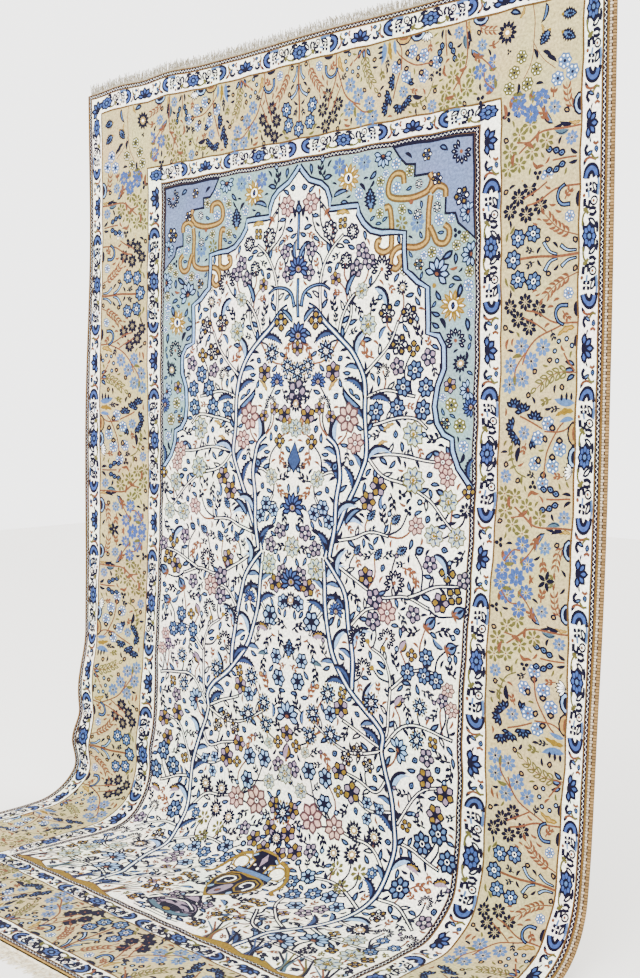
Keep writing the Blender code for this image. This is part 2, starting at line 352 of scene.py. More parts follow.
# Motifs, each at its own size in millimetres, facing +x from its root or round its middle
MOTIFS = {
    "rosette": flower(7, 19.5, 15.0, "navy", "sky", disc("white", 9) + disc("navy", 6), 1.0, 1.15, 3.5),
    "blue_rosette": flower(7, 19.0, 15.0, "navy", "sky", disc("white", 10) + disc("navy", 6), 1.0, 1.15, 3.3),
    "pale_rosette": flower(6, 19.0, 16.5, "navy", "pale", disc("navy", 6), 1.0, 1.15, 3.5),
    "star": flower(8, 16.5, 8.4, None, "navy", disc("rust", 3.5), 2.2, 1.4),
    "sky_daisy": flower(8, 16.5, 8.4, None, "sky", disc("navy", 5.5), 2.2, 1.4),
    "blue_daisy": flower(8, 16.5, 8.4, None, "peri", disc("gold", 4.5), 2.2, 1.4),
    "olive_daisy": flower(7, 15.5, 7.2, None, "olive", disc("rust", 3.5), 2.8, 1.4),
    "white_flower": flower(7, 14.0, 11.0, "sky", "white", disc("rust", 4), 1.0, 1.5, 2.8),
    "cup": lined(leaf(16, 17), "navy", "tan", 4.4),
    "eyed_flower": flower(7, 12.5, 10.0, "olive", "white", disc("navy", 5), 1.0, 1.5, 2.8),
    "navy_flower": flower(8, 22.0, 15.0, "navy", "white", disc("white", 10) + disc("gold", 5), 4.5, 1.5, 4.4),
    "small_navy_flower": flower(7, 18.0, 13.5, "navy", "white", disc("white", 8) + disc("rust", 4), 3.0, 1.5, 4.5),
    "gold_flower": two_toned(6, 22.0, 18.5, "navy", "gold", "lilac", disc("navy", 8), 1.0, 1.15, 3.3),
    "gold_rose": two_toned(8, 21.0, 16.0, "rust", "gold", "lilac", disc("gold", 9), 1.0, 1.3, 3.0),
    "white_gold": two_toned(6, 22.0, 17.0, "navy", "white", "gold", disc("navy", 8), 2.0, 1.4, 4.3),
    "aqua_flower": flower(9, 27.0, 18.0, "olive", "mist", [], 4.0, 1.0, 3.0)
    + spread([("blue", petal(14, 5.0))], 6, out=6.0) + disc("gold", 9),
    "pink_flower": flower(7, 21.0, 15.0, "rose", "pink", disc("white", 7) + disc("navy", 4), 1.0, 1.15, 3.0),
    "lilac_cross": flower(5, 19.5, 17.0, "slate", "lilac", disc("white", 7) + disc("navy", 4), 1.0, 1.2, 3.3),
    "gold_cross": flower(4, 17.5, 17.0, "navy", "gold", disc("white", 6) + disc("slate", 3.5), 0.5, 1.2, 3.2),
    "sunburst": two_toned(14, 30.0, 9.5, "gold", "white", "tan", disc("white", 20), 5.0, 1.2, 3.0)
    + lined(ellipse(10, 15, 8), "navy", "peri", 3.9),
    "spiky": spread([("navy", leaf(15, 8.0, 0, 0, 4))], 12, out=7.0)
    + [("tan", ellipse(18, 16, 8)), ("white", ellipse(9, 8, 6))],
    "blue_star": flower(8, 25.0, 11.5, "navy", "pale", disc("white", 9) + disc("gold", 5), 4.0, 0.85, 4.1)
    + moved(spread([("gold", ellipse(7, 6, 6))], 8, out=21.0), 0, 1.0, 22.5),
    "lotus": spread([("navy", leaf(24, 12.5, 14)), ("peri", inset(leaf(24, 12.5, 14), 3.3))], 9, 230, 4.0)
    + lined(ellipse(18, 20), "navy", "lilac", 4.1) + disc("gold", 8),
    "half_fan": fan(7, 205, 30, 15.5, "navy", "pale", [("navy", ellipse(11, 15, 8)), ("rust", ellipse(6, 9, 6))],
                    2.0, 1.2, 3.6),
    "navy_fan": fan(9, 250, 26, 10.5, "navy", "white", disc("rust", 9), 7.0, 1.3, 4.3),
    "shell": fan(5, 168, 26, 15.5, "navy", "peri", [("navy", ellipse(10, 18, 8))], 1.0, 1.15, 4.2),
    "carnation": fan(5, 130, 20, 10.0, "navy", "sky", [("blue", ellipse(7, 8, 6) + 3)], 0.5, 1.1, 3.9),
    "bud": lined(leaf(21, 16), "navy", "sky", 4.2) + [("navy", ellipse(6, 4, 6) + 10)],
    "comb_bud": lined(leaf(40, 34, 0, 6), "navy", "sky", 4.4) + [("navy", leaf(20, 7) + 12), ("gold", ellipse(8, 8, 6) + 1)],
    "bell": lined(leaf(34, 28), "navy", "sky", 4.3) + [("navy", leaf(18, 7) + 11)]
    + spread([("rust", leaf(15, 5.5, 30))], 4, 150) + spread([("navy", leaf(12, 5) + 27)], 3, 50),
    "tulip": lined(leaf(34, 25), "navy", "gold", 4.3)
    + [("lilac", inset(leaf(34, 13, 25), 1.0) - 3j), ("rust", ellipse(7, 8, 6))],
    "gold_leaf": lined(leaf(42, 23, 12, 5), "navy", "gold", 4.1) + [("lilac", inset(leaf(40, 10, 30), 0.5) + 5j)],
    "berry": lined(ellipse(15, 15, 8), "navy", "pale", 4.2),
    "drops": spread([("navy", ellipse(11, 9, 6))], 3, out=6.0),
    "leaf": lined(leaf(27, 12.5, 18), "navy", "sky", 4.1),
    "long_leaf": lined(leaf(60, 17, 40, 0, 8), "navy", "sky", 4.2) + [("navy", ribbon((8 - 7j, 30 - 3j, 52 + 7j), 2.6))],
    "half_leaf": [("navy", leaf(58, 18, 45, 0, 8)), ("pale", inset(leaf(58, 11, 58, 0, 8), 1.0) + 3.5j)],
    "comb_leaf": [("navy", leaf(56, 20, 40, 8)), ("blue", leaf(50, 7, 48) + 3 + 2j)],
    "outline_leaf": lined(leaf(26, 11.5, 24), "slate", "ivory", 4.0),
    "fern_leaf": lined(leaf(19, 9.5, 20), "olive", "beige", 3.0),
    "navy_leaf": [("navy", leaf(21, 7.5, 30))],
    "rust_leaf": [("rust", leaf(20, 6.5, 36))],
    "olive_leaf": [("olive", leaf(18, 6.0, 24))],
    "ochre_leaf": lined(leaf(38, 14, 30, 3), "gold", "tan", 2.8),
    "lilac_leaf": [("teal", leaf(36, 12, 28)), ("navy", ribbon((4 - 1j, 18 - 3j, 32 + 4j), 2.2, steps=2))],
    "vine_leaf": [("navy", leaf(38, 13, 36)), ("sky", inset(leaf(36, 8.5, 46), 1.0) + 1 + 1.5j)],
    "navy_spray": spray("navy", "pale"),
    "rust_spray": spray("rust", "tan"),
    "slate_spray": spray("slate", "lilac"),
    "gold_bud": lined(leaf(18, 10), "rust", "gold", 2.4),
    "rust_twig": twig("rust"),
    "olive_twig": twig("olive"),
    "slate_twig": twig("slate"),
    "dot": disc("navy", 8.5),
    "rust_dot": disc("rust", 7.5),
    "gold_dot": disc("gold", 8.5),
}


def clipped(start, end, box):
    """Parts of straight edges that lie inside a box (left, right, top, bottom)."""
    run = end - start
    low, high = np.zeros(len(start)), np.ones(len(start))
    keep = np.ones(len(start), bool)
    left, right, top, bottom = box
    sides = (
        (-run.real, start.real - left), (run.real, right - start.real),
        (-run.imag, start.imag - top), (run.imag, bottom - start.imag),
    )
    for slope, room in sides:
        flat = slope == 0.0
        keep &= ~(flat & (room < 0.0))
        share = room / np.where(flat, 1.0, slope)
        low = np.where((slope < 0.0) & (share > low), share, low)
        high = np.where((slope > 0.0) & (share < high), share, high)
    keep &= low < high - 1e-9
    return (start + run * low)[keep], (start + run * high)[keep]


def covers(outline, places):
    """Whether an outline winds forwards round each place."""
    first = outline[None, :] - places[:, None]
    second = np.roll(outline, -1)[None, :] - places[:, None]
    turn = first.real * second.imag - first.imag * second.real
    rising = (first.imag <= 0) & (second.imag > 0) & (turn > 0)
    falling = (first.imag > 0) & (second.imag <= 0) & (turn < 0)
    return rising.sum(axis=1) > falling.sum(axis=1)


def triangulated(start, end, box):
    """Triangles over a box that keep to the given edges."""
    left, right, top, bottom = box
    corners = np.array([left + 1j * top, right + 1j * top, right + 1j * bottom, left + 1j * bottom])
    start = np.concatenate((corners, start))
    end = np.concatenate((np.roll(corners, -1), end))
    places = [Vector((p.real, p.imag)) for p in np.concatenate((start, end))]
    edges = [(k, k + len(start)) for k in range(len(start))]
    points, _, faces, _, _, _ = delaunay_2d_cdt(places, edges, [], 0, 1e-4, False)
    return np.array([complex(*p) for p in points]), np.array([tuple(f) for f in faces], int)


def mosaic(shapes, columns, rows):
    """Cuts shapes, the later ones on top, into triangles of one ink each, tile by tile."""
    outlines = [p if area(p) > 0 else p[::-1] for _, p in shapes]
    inks = np.array([INK_NAMES.index(ink) for ink, _ in shapes])
    boxes = np.array([(p.real.min(), p.real.max(), p.imag.min(), p.imag.max()) for p in outlines])
    all_points, all_faces, all_inks, base = [], [], [], 0
    for left, right in zip(columns, columns[1:]):
        for top, bottom in zip(rows, rows[1:]):
            near = np.flatnonzero(
                (boxes[:, 0] < right) & (boxes[:, 1] > left) & (boxes[:, 2] < bottom) & (boxes[:, 3] > top)
            )
            box = (left, right, top, bottom)
            start = np.concatenate([outlines[k] for k in near])
            end = np.concatenate([np.roll(outlines[k], -1) for k in near])
            points, faces = triangulated(*clipped(start, end, box), box)
            for final in (False, True):
                middles = points[faces].mean(axis=1)
                found = np.zeros(len(faces), int)
                for k in near:
                    x0, x1, y0, y1 = boxes[k]
                    close = np.flatnonzero(
                        (middles.real > x0) & (middles.real < x1) & (middles.imag > y0) & (middles.imag < y1)
                    )
                    if len(close):
                        found[close[covers(outlines[k], middles[close])]] = inks[k]
                if final:
                    break
                sides = np.sort(np.concatenate((faces[:, :2], faces[:, 1:], faces[:, ::2])), axis=1)
                code = sides[:, 0] * len(points) + sides[:, 1]
                order = np.argsort(code, kind="stable")
                pair = np.flatnonzero(code[order][1:] == code[order][:-1])
                hue = np.tile(found, 3)
                split = order[pair][hue[order[pair]] != hue[order[pair + 1]]]
                points, faces = triangulated(points[sides[split, 0]], points[sides[split, 1]], box)
            all_points.append(points)
            all_faces.append(faces + base)
            all_inks.append(found)
            base += len(points)
    return np.concatenate(all_points), np.concatenate(all_faces), np.concatenate(all_inks)


def filled(shapes, box, sizes, seed):
    """Small motifs set into the spaces left inside a box (left, right, top, bottom), largest first.
    sizes holds rows of (clear radius, motifs, size)."""
    grid = 3.0
    left, right, top, bottom = box
    taken = np.zeros((int((bottom - top) / grid) + 1, int((right - left) / grid) + 1), bool)
    for _, outline in shapes:
        outline = outline if area(outline) > 0 else outline[::-1]
        i0, i1 = int((outline.real.min() - left) / grid), int((outline.real.max() - left) / grid) + 2
        j0, j1 = int((outline.imag.min() - top) / grid), int((outline.imag.max() - top) / grid) + 2
        i0, i1, j0, j1 = max(i0, 0), min(i1, taken.shape[1]), max(j0, 0), min(j1, taken.shape[0])
        if i0 < i1 and j0 < j1:
            x, y = np.meshgrid(left + np.arange(i0, i1) * grid, top + np.arange(j0, j1) * grid)
            inside = covers(outline, (x + 1j * y).ravel()).reshape(x.shape)
            taken[j0:j1, i0:i1] |= inside
            near = ((outline.real - left) / grid).round().astype(int), ((outline.imag - top) / grid).round().astype(int)
            fits = (near[0] >= 0) & (near[0] < taken.shape[1]) & (near[1] >= 0) & (near[1] < taken.shape[0])
            taken[near[1][fits], near[0][fits]] = True
    rng = random.Random(seed)
    added = []
    for radius, kinds, size in sizes:
        reach = int(radius / grid + 0.5)
        spots = [(j, i) for j in range(reach, taken.shape[0] - reach) for i in range(reach, taken.shape[1] - reach)]
        rng.shuffle(spots)
        offsets = np.arange(-reach, reach + 1)
        round_patch = offsets[:, None] ** 2 + offsets[None, :] ** 2 <= (reach + 0.3) ** 2
        for j, i in spots:
            patch = taken[j - reach:j + reach + 1, i - reach:i + reach + 1]
            if not (patch & round_patch).any():
                patch |= round_patch
                turn = rng.uniform(0.0, 360.0)
                kind = rng.choice(kinds)
                middle = left + i * grid + 1j * (top + j * grid)
                drawing = MOTIFS[kind]
                heart = drawing[0][1]
                if "leaf" in kind or kind in ("bud", "bell", "tulip", "comb_bud"):
                    middle -= np.exp(1j * math.radians(turn)) * size * heart.real.max() / 2
                added += moved(drawing, middle, size, turn)
    return added


def sprig(points, ink, kind, count, size=1.0, lean=48.0, wide=2.0):
    """A thin curved stem with leaflets of one kind along both sides."""
    shapes = [(ink, ribbon(points, wide, wide * 0.6))]
    points = np.array(points, complex)
    lengths = np.append(0.0, np.cumsum(np.abs(np.diff(points))))
    for k in range(count):
        share = lengths[-1] * (0.22 + 0.74 * k / count)
        at = np.interp(share, lengths, points.real) + 1j * np.interp(share, lengths, points.imag)
        ahead = np.interp(share + 2, lengths, points.real) + 1j * np.interp(share + 2, lengths, points.imag)
        heading = math.degrees(np.angle(ahead - at))
        for side in (-1, 1):
            shapes += moved(MOTIFS[kind], at, size, heading + side * lean, side > 0)
    return shapes + moved(MOTIFS[kind], points[-1], size, math.degrees(np.angle(points[-1] - points[-2])))


def drawn(rows):
    """Shapes of rows of (motif, x, y, size, turn)."""
    shapes = []
    for kind, x, y, size, turn in rows:
        shapes += moved(MOTIFS[kind], x + 1j * y, size, turn)
    return shapes


# Guard bands. Half a repeat, from a shell (0) down to a rosette (180): x runs 0 to 40 outwards
GUARD_HALF = drawn((
    ("bud", 32, 34, 0.62, 80), ("outline_leaf", 24, 92, 0.95, 55), ("rust_dot", 6, 113, 1.0, 0),
    ("outline_leaf", 17, 150, 1.0, 32), ("navy_leaf", 5, 66, 0.9, -64), ("navy_leaf", 34, 96, 0.9, 76),
    ("navy_leaf", 4, 152, 0.9, 70), ("navy_leaf", 22, 108, 0.8, 10), ("leaf", 26, 42, 0.7, 150),
)) + [
    ("rust", ribbon((26 + 29j, 32 + 32j, 38 + 29j), 4.9)), ("navy", ribbon((14 + 33j, 9 + 41j, 13 + 50j), 6.6)),
    ("rust", ribbon((7 + 58j, 18 + 53j, 33 + 57j), 4.5)), ("olive", ribbon((22 + 47j, 30 + 55j, 38 + 54j), 4.2)),
    ("navy", ribbon((5 + 86j, 9 + 73j, 18 + 65j, 29 + 66j, 36 + 75j, 38 + 88j), 7.4)),
    ("peri", ribbon((9 + 86j, 14 + 75j, 22 + 70j, 30 + 74j, 33 + 84j), 7.8)),
    ("navy", ribbon((14 + 87j, 18 + 79j, 24 + 77j, 28 + 86j), 6.6)),
    ("sky", ribbon((38 + 88j, 39 + 102j, 38 + 116j), 4.5)), ("sky", ribbon((16 + 105j, 18 + 117j), 4.5)),
    ("navy", ribbon((8 + 118j, 9 + 131j), 8.0)), ("navy", ribbon((11 + 130j, 18 + 132j, 20 + 121j), 6.0)),
    ("navy", ellipse(18, 17) + 30 + 123j), ("ivory", ellipse(11, 10, 8) + 30 + 123j),
    ("rust", ellipse(6, 6, 6) + 29 + 123j), ("navy", ribbon((19 + 135j, 28 + 134j, 35 + 137j), 6.0)),
    ("navy", ribbon((20 + 143j, 29 + 145j, 36 + 140j), 6.2)),
    ("olive", ribbon((6 + 136j, 13 + 136j, 18 + 143j), 6.2)), ("olive", ribbon((13 + 138j, 7 + 146j, 5 + 162j), 4.5)),
    ("navy", ribbon((36 + 156j, 38 + 164j, 37 + 174j), 5.6)),
] + moved(spread([("navy", petal(10, 8))], 4, out=0.5), 16 + 100j, 1.0, 40)
GUARD_SHELL = moved(MOTIFS["shell"], 12, 1.0, 0)
GUARD_ROSETTE = [(ink, p.real * 0.84 + 1j * p.imag * 1.14 + 20) for ink, p in (
    flower(8, 21.0, 17.5, "navy", "peri", lined(ellipse(17, 15, 8), "navy", "sky", 3.4), 1.0, 1.1, 3.9)
)]

# Main border. Half a repeat, from the stemmed spray (0) down to the navy star (546): x runs 0 to 156
# inwards from the outer ochre line
BORDER_HALF = drawn((
    ("blue_rosette", 133, 0, 1.0, 0), ("blue_rosette", 121, 34, 0.95, 20), ("blue_rosette", 89, 40, 0.95, 0),
    ("olive_leaf", 128, 56, 1.0, -60), ("olive_leaf", 147, 30, 1.0, 100), ("rust_leaf", 80, 56, 0.6, 0),
    ("rust_leaf", 84, 64, 0.6, 180), ("star", 138, 80, 0.95, 10), ("star", 105, 73, 1.0, 0),
    ("star", 77, 86, 1.0, 16), ("star", 122, 102, 1.0, 4), ("star", 98, 117, 1.0, 20),
    ("ochre_leaf", 4, 121, 1.0, 4), ("rust_twig", 22, 100, 0.9, 130), ("rust_leaf", 140, 134, 1.0, 60),
    ("sky_daisy", 113, 149, 1.0, 0), ("sky_daisy", 68, 150, 1.0, 20), ("sky_daisy", 91, 173, 1.0, 10),
    ("sky_daisy", 136, 182, 1.0, 0), ("sky_daisy", 111, 204, 1.0, 15), ("sky_daisy", 138, 214, 1.0, 5),
    ("olive_leaf", 110, 166, 1.3, -4), ("olive_leaf", 126, 196, 1.2, 80), ("berry", 43, 158, 0.72, 0),
    ("berry", 36, 142, 0.72, 0), ("berry", 20, 139, 0.72, 0), ("berry", 8, 150, 0.72, 0),
    ("berry", 37, 175, 0.72, 0), ("berry", 28, 186, 0.6, 0), ("leaf", 1, 182, 0.8, -24), ("leaf", 1, 190, 0.9, 0),
    ("leaf", 1, 197, 0.8, 26), ("carnation", 126, 254, 1.0, -100), ("carnation", 105, 262, 1.0, -70),
    ("carnation", 81, 274, 1.0, -96), ("carnation", 126, 286, 1.0, -20), ("carnation", 118, 300, 1.0, 40),
    ("carnation", 88, 306, 1.0, 150), ("white_flower", 53, 278, 1.0, 0), ("cup", 44, 292, 0.9, -96),
    ("white_flower", 73, 304, 1.0, 10), ("cup", 52, 304, 0.85, 10), ("white_flower", 29, 320, 1.05, 0),
    ("cup", 29, 313, 0.9, -90), ("white_flower", 80, 348, 1.0, 8), ("cup", 66, 342, 0.9, 6),
    ("white_flower", 43, 350, 1.05, 0), ("cup", 44, 342, 0.9, -90), ("white_flower", 61, 381, 1.0, 0),
    ("cup", 61, 374, 0.9, -90), ("olive_leaf", 130, 316, 0.9, 60), ("olive_leaf", 124, 328, 0.9, 20),
    ("olive_leaf", 122, 340, 0.9, 10), ("olive_leaf", 117, 352, 0.9, 14), ("olive_leaf", 104, 368, 1.0, 80),
    ("navy_leaf", 112, 318, 1.4, 66), ("drops", 81, 386, 0.85, 30), ("rust_leaf", 76, 396, 1.0, 20),
    ("rust_leaf", 86, 394, 1.0, 150), ("bud", 24, 397, 0.85, -8), ("bud", 36, 393, 0.85, -26),
    ("bud", 50, 392, 0.8, -10), ("bud", 26, 414, 0.85, 12), ("bud", 38, 418, 0.85, 24), ("bud", 52, 423, 0.8, 10),
    ("navy_leaf", 2, 400, 0.9, -24), ("navy_leaf", 2, 410, 0.9, 20), ("olive_daisy", 142, 401, 1.0, 0),
    ("olive_daisy", 119, 405, 1.0, 12), ("olive_daisy", 138, 431, 1.05, 0), ("olive_daisy", 94, 423, 1.0, 8),
    ("olive_daisy", 66, 439, 1.0, 0), ("olive_daisy", 121, 456, 1.0, 14), ("olive_daisy", 99, 469, 1.05, 6),
    ("rust_leaf", 131, 404, 1.2, 80), ("rust_leaf", 112, 438, 1.2, 190), ("rust_leaf", 83, 436, 1.1, 82),
    ("lilac_leaf", 22, 452, 0.8, -10), ("vine_leaf", 52, 464, 1.0, 44), ("ochre_leaf", 0, 462, 0.62, -6),
    ("navy_leaf", 16, 461, 1.2, 0), ("navy_leaf", 34, 464, 0.9, -30), ("drops", 146, 488, 0.95, 0),
    ("rust_leaf", 138, 500, 1.4, 100), ("blue_daisy", 96, 488, 1.0, 0), ("blue_daisy", 121, 513, 1.05, 10),
    ("blue_daisy", 84, 520, 1.0, 0), ("blue_daisy", 137, 536, 1.0, 5), ("blue_daisy", 106, 545, 1.1, 0),
    ("olive_leaf", 134, 524, 1.3, 176), ("olive_leaf", 97, 508, 1.1, 90), ("rust_leaf", 78, 536, 0.9, 100),
    ("olive_twig", 60, 240, 0.9, 20), ("rust_twig", 104, 322, 0.8, 70), ("rust_twig", 30, 366, 0.8, 0),
    ("rust_twig", 70, 480, 1.0, 60), ("rust_twig", 52, 520, 1.0, 100), ("olive_twig", 36, 540, 0.8, 30),
)) + sprig((0 + 30j, 25 + 38j, 45 + 50j, 66 + 70j), "rust", "rust_leaf", 6, 0.8, 50.0, 2.8) + sprig(
    (0 + 193j, 30 + 194j, 55 + 202j, 80 + 218j), "rust", "fern_leaf", 5, 0.95, 46.0, 2.4
) + sprig((8 + 480j, 22 + 498j, 28 + 530j), "rust", "rust_leaf", 4, 0.7, 50.0, 2.4) + [
    ("rust", ribbon((0 + 0j, 60 + 0j, 118 + 0j), 4.8)),
    ("rust", ribbon((0 + 113j, 45 + 109j, 80 + 94j, 104 + 88j), 3.6)),
    ("rust", ribbon((30 + 114j, 78 + 133j, 100 + 156j, 110 + 180j), 3.4)),
    ("rust", ribbon((62 + 124j, 84 + 112j, 110 + 100j), 3.1)),
    ("rust", ribbon((2 + 190j, 14 + 176j, 24 + 162j), 3.4)), ("rust", ribbon((104 + 160j, 124 + 186j, 128 + 202j), 3.1)),
    ("rust", ribbon((64 + 288j, 92 + 276j, 112 + 268j), 3.4)), ("rust", ribbon((0 + 275j, 20 + 290j, 60 + 292j), 3.1)),
    ("rust", ribbon((60 + 372j, 56 + 330j, 34 + 290j, 20 + 276j), 3.1)),
    ("olive", ribbon((128 + 310j, 130 + 334j, 118 + 360j, 96 + 372j), 2.8)),
    ("rust", ribbon((0 + 455j, 50 + 456j, 80 + 452j, 104 + 436j, 120 + 424j), 3.6)),
    ("rust", ribbon((86 + 448j, 100 + 440j, 126 + 444j), 3.1)), ("rust", ribbon((4 + 405j, 52 + 406j), 3.4)),
    ("rust", ribbon((60 + 470j, 80 + 500j, 100 + 520j), 3.1)), ("rust", ribbon((100 + 498j, 116 + 500j, 134 + 520j), 2.8)),
] + lined(ribbon((16 + 82j, 33 + 82j, 42 + 93j, 38 + 107j, 26 + 115j), 9.0, 7.0), "navy", "sky", 2.8) + [
    ("navy", ellipse(14, 27) + 90j), ("navy", ellipse(10, 20) + 142j), ("sky", leaf(44, 14, -16) + 244j),
    ("navy", leaf(15, 6) * -1j + 8 + 241j), ("navy", leaf(15, 6) * -1j + 18 + 241j),
    ("navy", leaf(13, 6) * -1j + 28 + 242j), ("gold", leaf(38, 13, 20, 3) + 1 + 259j), ("sky", leaf(30, 9, 16) + 272j),
    ("navy", ellipse(28, 41) + 296j), ("tan", ellipse(21, 34) + 296j), ("rust", ellipse(8, 24) + 296j),
    ("navy", ellipse(29, 40) + 334j), ("pale", ellipse(21, 32) + 334j), ("navy", ellipse(13, 22) + 334j),
    ("navy", ellipse(29, 40) + 490j), ("pale", ellipse(21, 32) + 490j), ("navy", ellipse(14, 24) + 490j),
] + lined(ribbon((40 + 3j, 56 + 9j, 68 + 26j), 6.0, 9.0), "navy", "pale", 2.6) + lined(
    ribbon((2 + 6j, 20 + 8j, 34 + 18j), 5.5, 8.5), "navy", "pale", 2.5
) + moved(fan(5, 90, 22, 8.0, "navy", "white", []), 358j) + moved(
    spread([("navy", leaf(18, 8))], 5, out=1.0), 46 + 546j, 1.0, 36
)


# Half discs stand on the outer line, and small sprigs fill what is left of the beige ground
BORDER_HALF = [(ink, np.maximum(p.real, 0.0) + 1j * p.imag) for ink, p in BORDER_HALF]
BORDER_FILLERS = (
    (11.0, ("rust_twig", "white_flower", "olive_twig", "carnation", "sky_daisy"), 0.8),
    (7.0, ("rust_leaf", "olive_leaf", "navy_leaf", "cup", "slate_twig"), 0.75),
    (4.5, ("olive_leaf", "rust_leaf", "navy_leaf"), 0.6),
)
BORDER_HALF += filled(BORDER_HALF, (4.0, 152.0, 2.0, 542.0), BORDER_FILLERS, 9)
GUARD_FILLERS = ((4.5, ("navy_leaf", "olive_leaf", "rust_dot", "navy_leaf"), 0.5),)
GUARD_HALF += filled(GUARD_HALF, (1.0, 39.0, 20.0, 160.0), GUARD_FILLERS, 4)


def laid(shapes, origin, out, along):
    """Shapes charted with x across a band and y along it, set down with its two directions."""
    return [(ink, origin + out * p.real + along * p.imag) for ink, p in shapes]


def mirrored(shapes, by=0.0):
    """The shapes and their mirror image over the middle of the rug, which may have heavier lines."""
    return shapes + bolder([(ink, -np.conj(p)) for ink, p in shapes], by)


def rectangle(half_wide, top, bottom):
    return np.array([-half_wide + 1j * top, half_wide + 1j * top, half_wide + 1j * bottom, -half_wide + 1j * bottom])


def flipped_end(shapes, by):
    """The lower end's copy of what is charted at the upper end, in heavier lines."""
    return bolder([(ink, np.conj(p) + 1j * LONG) for ink, p in shapes], by)


def bolder(shapes, by):
    """The same drawing with its dark lines wider, and its rust and olive ones a little wider."""
    wider = {"navy": by, "slate": by, "rust": 0.4 * by, "olive": 0.4 * by}
    return [(ink, inset(p, -wider[ink]) if ink in wider else p) for ink, p in shapes]


# The layout of the whole pile, in millimetres. Nested frames: ink, half width, top
LONG = PILE_LENGTH * 1000
FRAMES = (
    ("ochre", 690.5, -0.5), ("navy", 687.5, 2.5), ("ochre", 681.5, 8.5), ("ivory", 678.5, 11.5),
    ("ochre", 645.0, 46.5), ("beige", 641.0, 50.5), ("ochre", 485.0, 192.0), ("ivory", 481.0, 196.0),
    ("ochre", 441.0, 229.0), ("navy", 438.0, 232.0), ("ochre", 429.5, 240.5), ("ivory", 427.5, 242.5),
)
layout = [(ink, rectangle(half, top, LONG - top)) for ink, half, top in FRAMES]


def zigzag(half, top, pitch, swing):
    """White zigzag line along a barber stripe, as short bars that lean in turn, thinner at the lower end
    and the left side."""
    shapes = []
    corners = (-half + 1j * top, half + 1j * top, half + 1j * (LONG - top), -half + 1j * (LONG - top))
    for start, end, thick in zip(corners, corners[1:] + corners[:1], (0.45, 0.48, 0.36, 0.3)):
        run = abs(end - start)
        ahead = (end - start) / run
        count = 2 * round(run / pitch)
        step = run / count
        for k in range(count):
            lean = swing if k % 2 == 0 else -swing
            middle = start + ahead * step * (k + 0.5)
            bar = ahead * step * 0.5 + 1j * ahead * lean
            width = ahead * thick
            shapes.append(("white", np.array([middle - bar - width, middle + bar - width, middle + bar + width, middle - bar + width])))
    return shapes


layout += zigzag(684.5, 5.5, 9.0, 2.0) + zigzag(433.75, 236.25, 9.0, 2.0)

# Guard bands: half repeats between shells and rosettes, down the sides and over the ends
INNER_SIDE = (262, 444, 620, 801, 986, 1170, 1352, 1517, 1690, 1860, 1972)
OUTER_SIDE = (261, 440, 621, 801, 993, 1174, 1352, 1510, 1690, 1868, 2046, 2132)
for base, wide, places in ((441.5, 0.97, INNER_SIDE), (645.5, 0.80, OUTER_SIDE)):
    band = []
    for k, (here, after) in enumerate(zip(places, places[1:])):
        shell, rosette = (here, after) if k % 2 == 0 else (after, here)
        band += laid(GUARD_HALF, base + 1j * shell, wide, 1j * (rosette - shell) / 180.0)
    for k, here in enumerate(places[:-1]):
        band += laid(GUARD_ROSETTE if k % 2 else GUARD_SHELL, base + 1j * here, wide, 1j)
    layout += mirrored(band, 0.5)
INNER_END = ((118, -53), (118, 290), (455, 290))
OUTER_END = ((0, 160), (328, 160), (328, 490), (625, 490))
for base, wide, runs in ((228.5, 0.80, INNER_END), (46.0, 0.85, OUTER_END)):
    band = []
    for rosette, shell in runs:
        shapes = [s for s in GUARD_HALF if s[1].imag.mean() > 60.0] if shell < 0 else GUARD_HALF
        band += laid(shapes, shell + 1j * base, -1j * wide, (rosette - shell) / 180.0)
        band += laid(GUARD_ROSETTE, rosette + 1j * base, -1j * wide, 1.0)
        if shell > 0:
            band += laid(GUARD_SHELL, shell + 1j * base, -1j * wide, 1.0)
    band = mirrored(band)
    layout += band + flipped_end(band, 1.0)
corner = moved(GUARD_SHELL, 648 + 48j, 0.95, -45)
layout += mirrored(corner + flipped_end(corner, 1.0) + laid(GUARD_HALF, 645.5 + 261j, 0.80, -1j * 1.03)
                   + laid(GUARD_ROSETTE, 645.5 + 76j, 0.80, 1j))

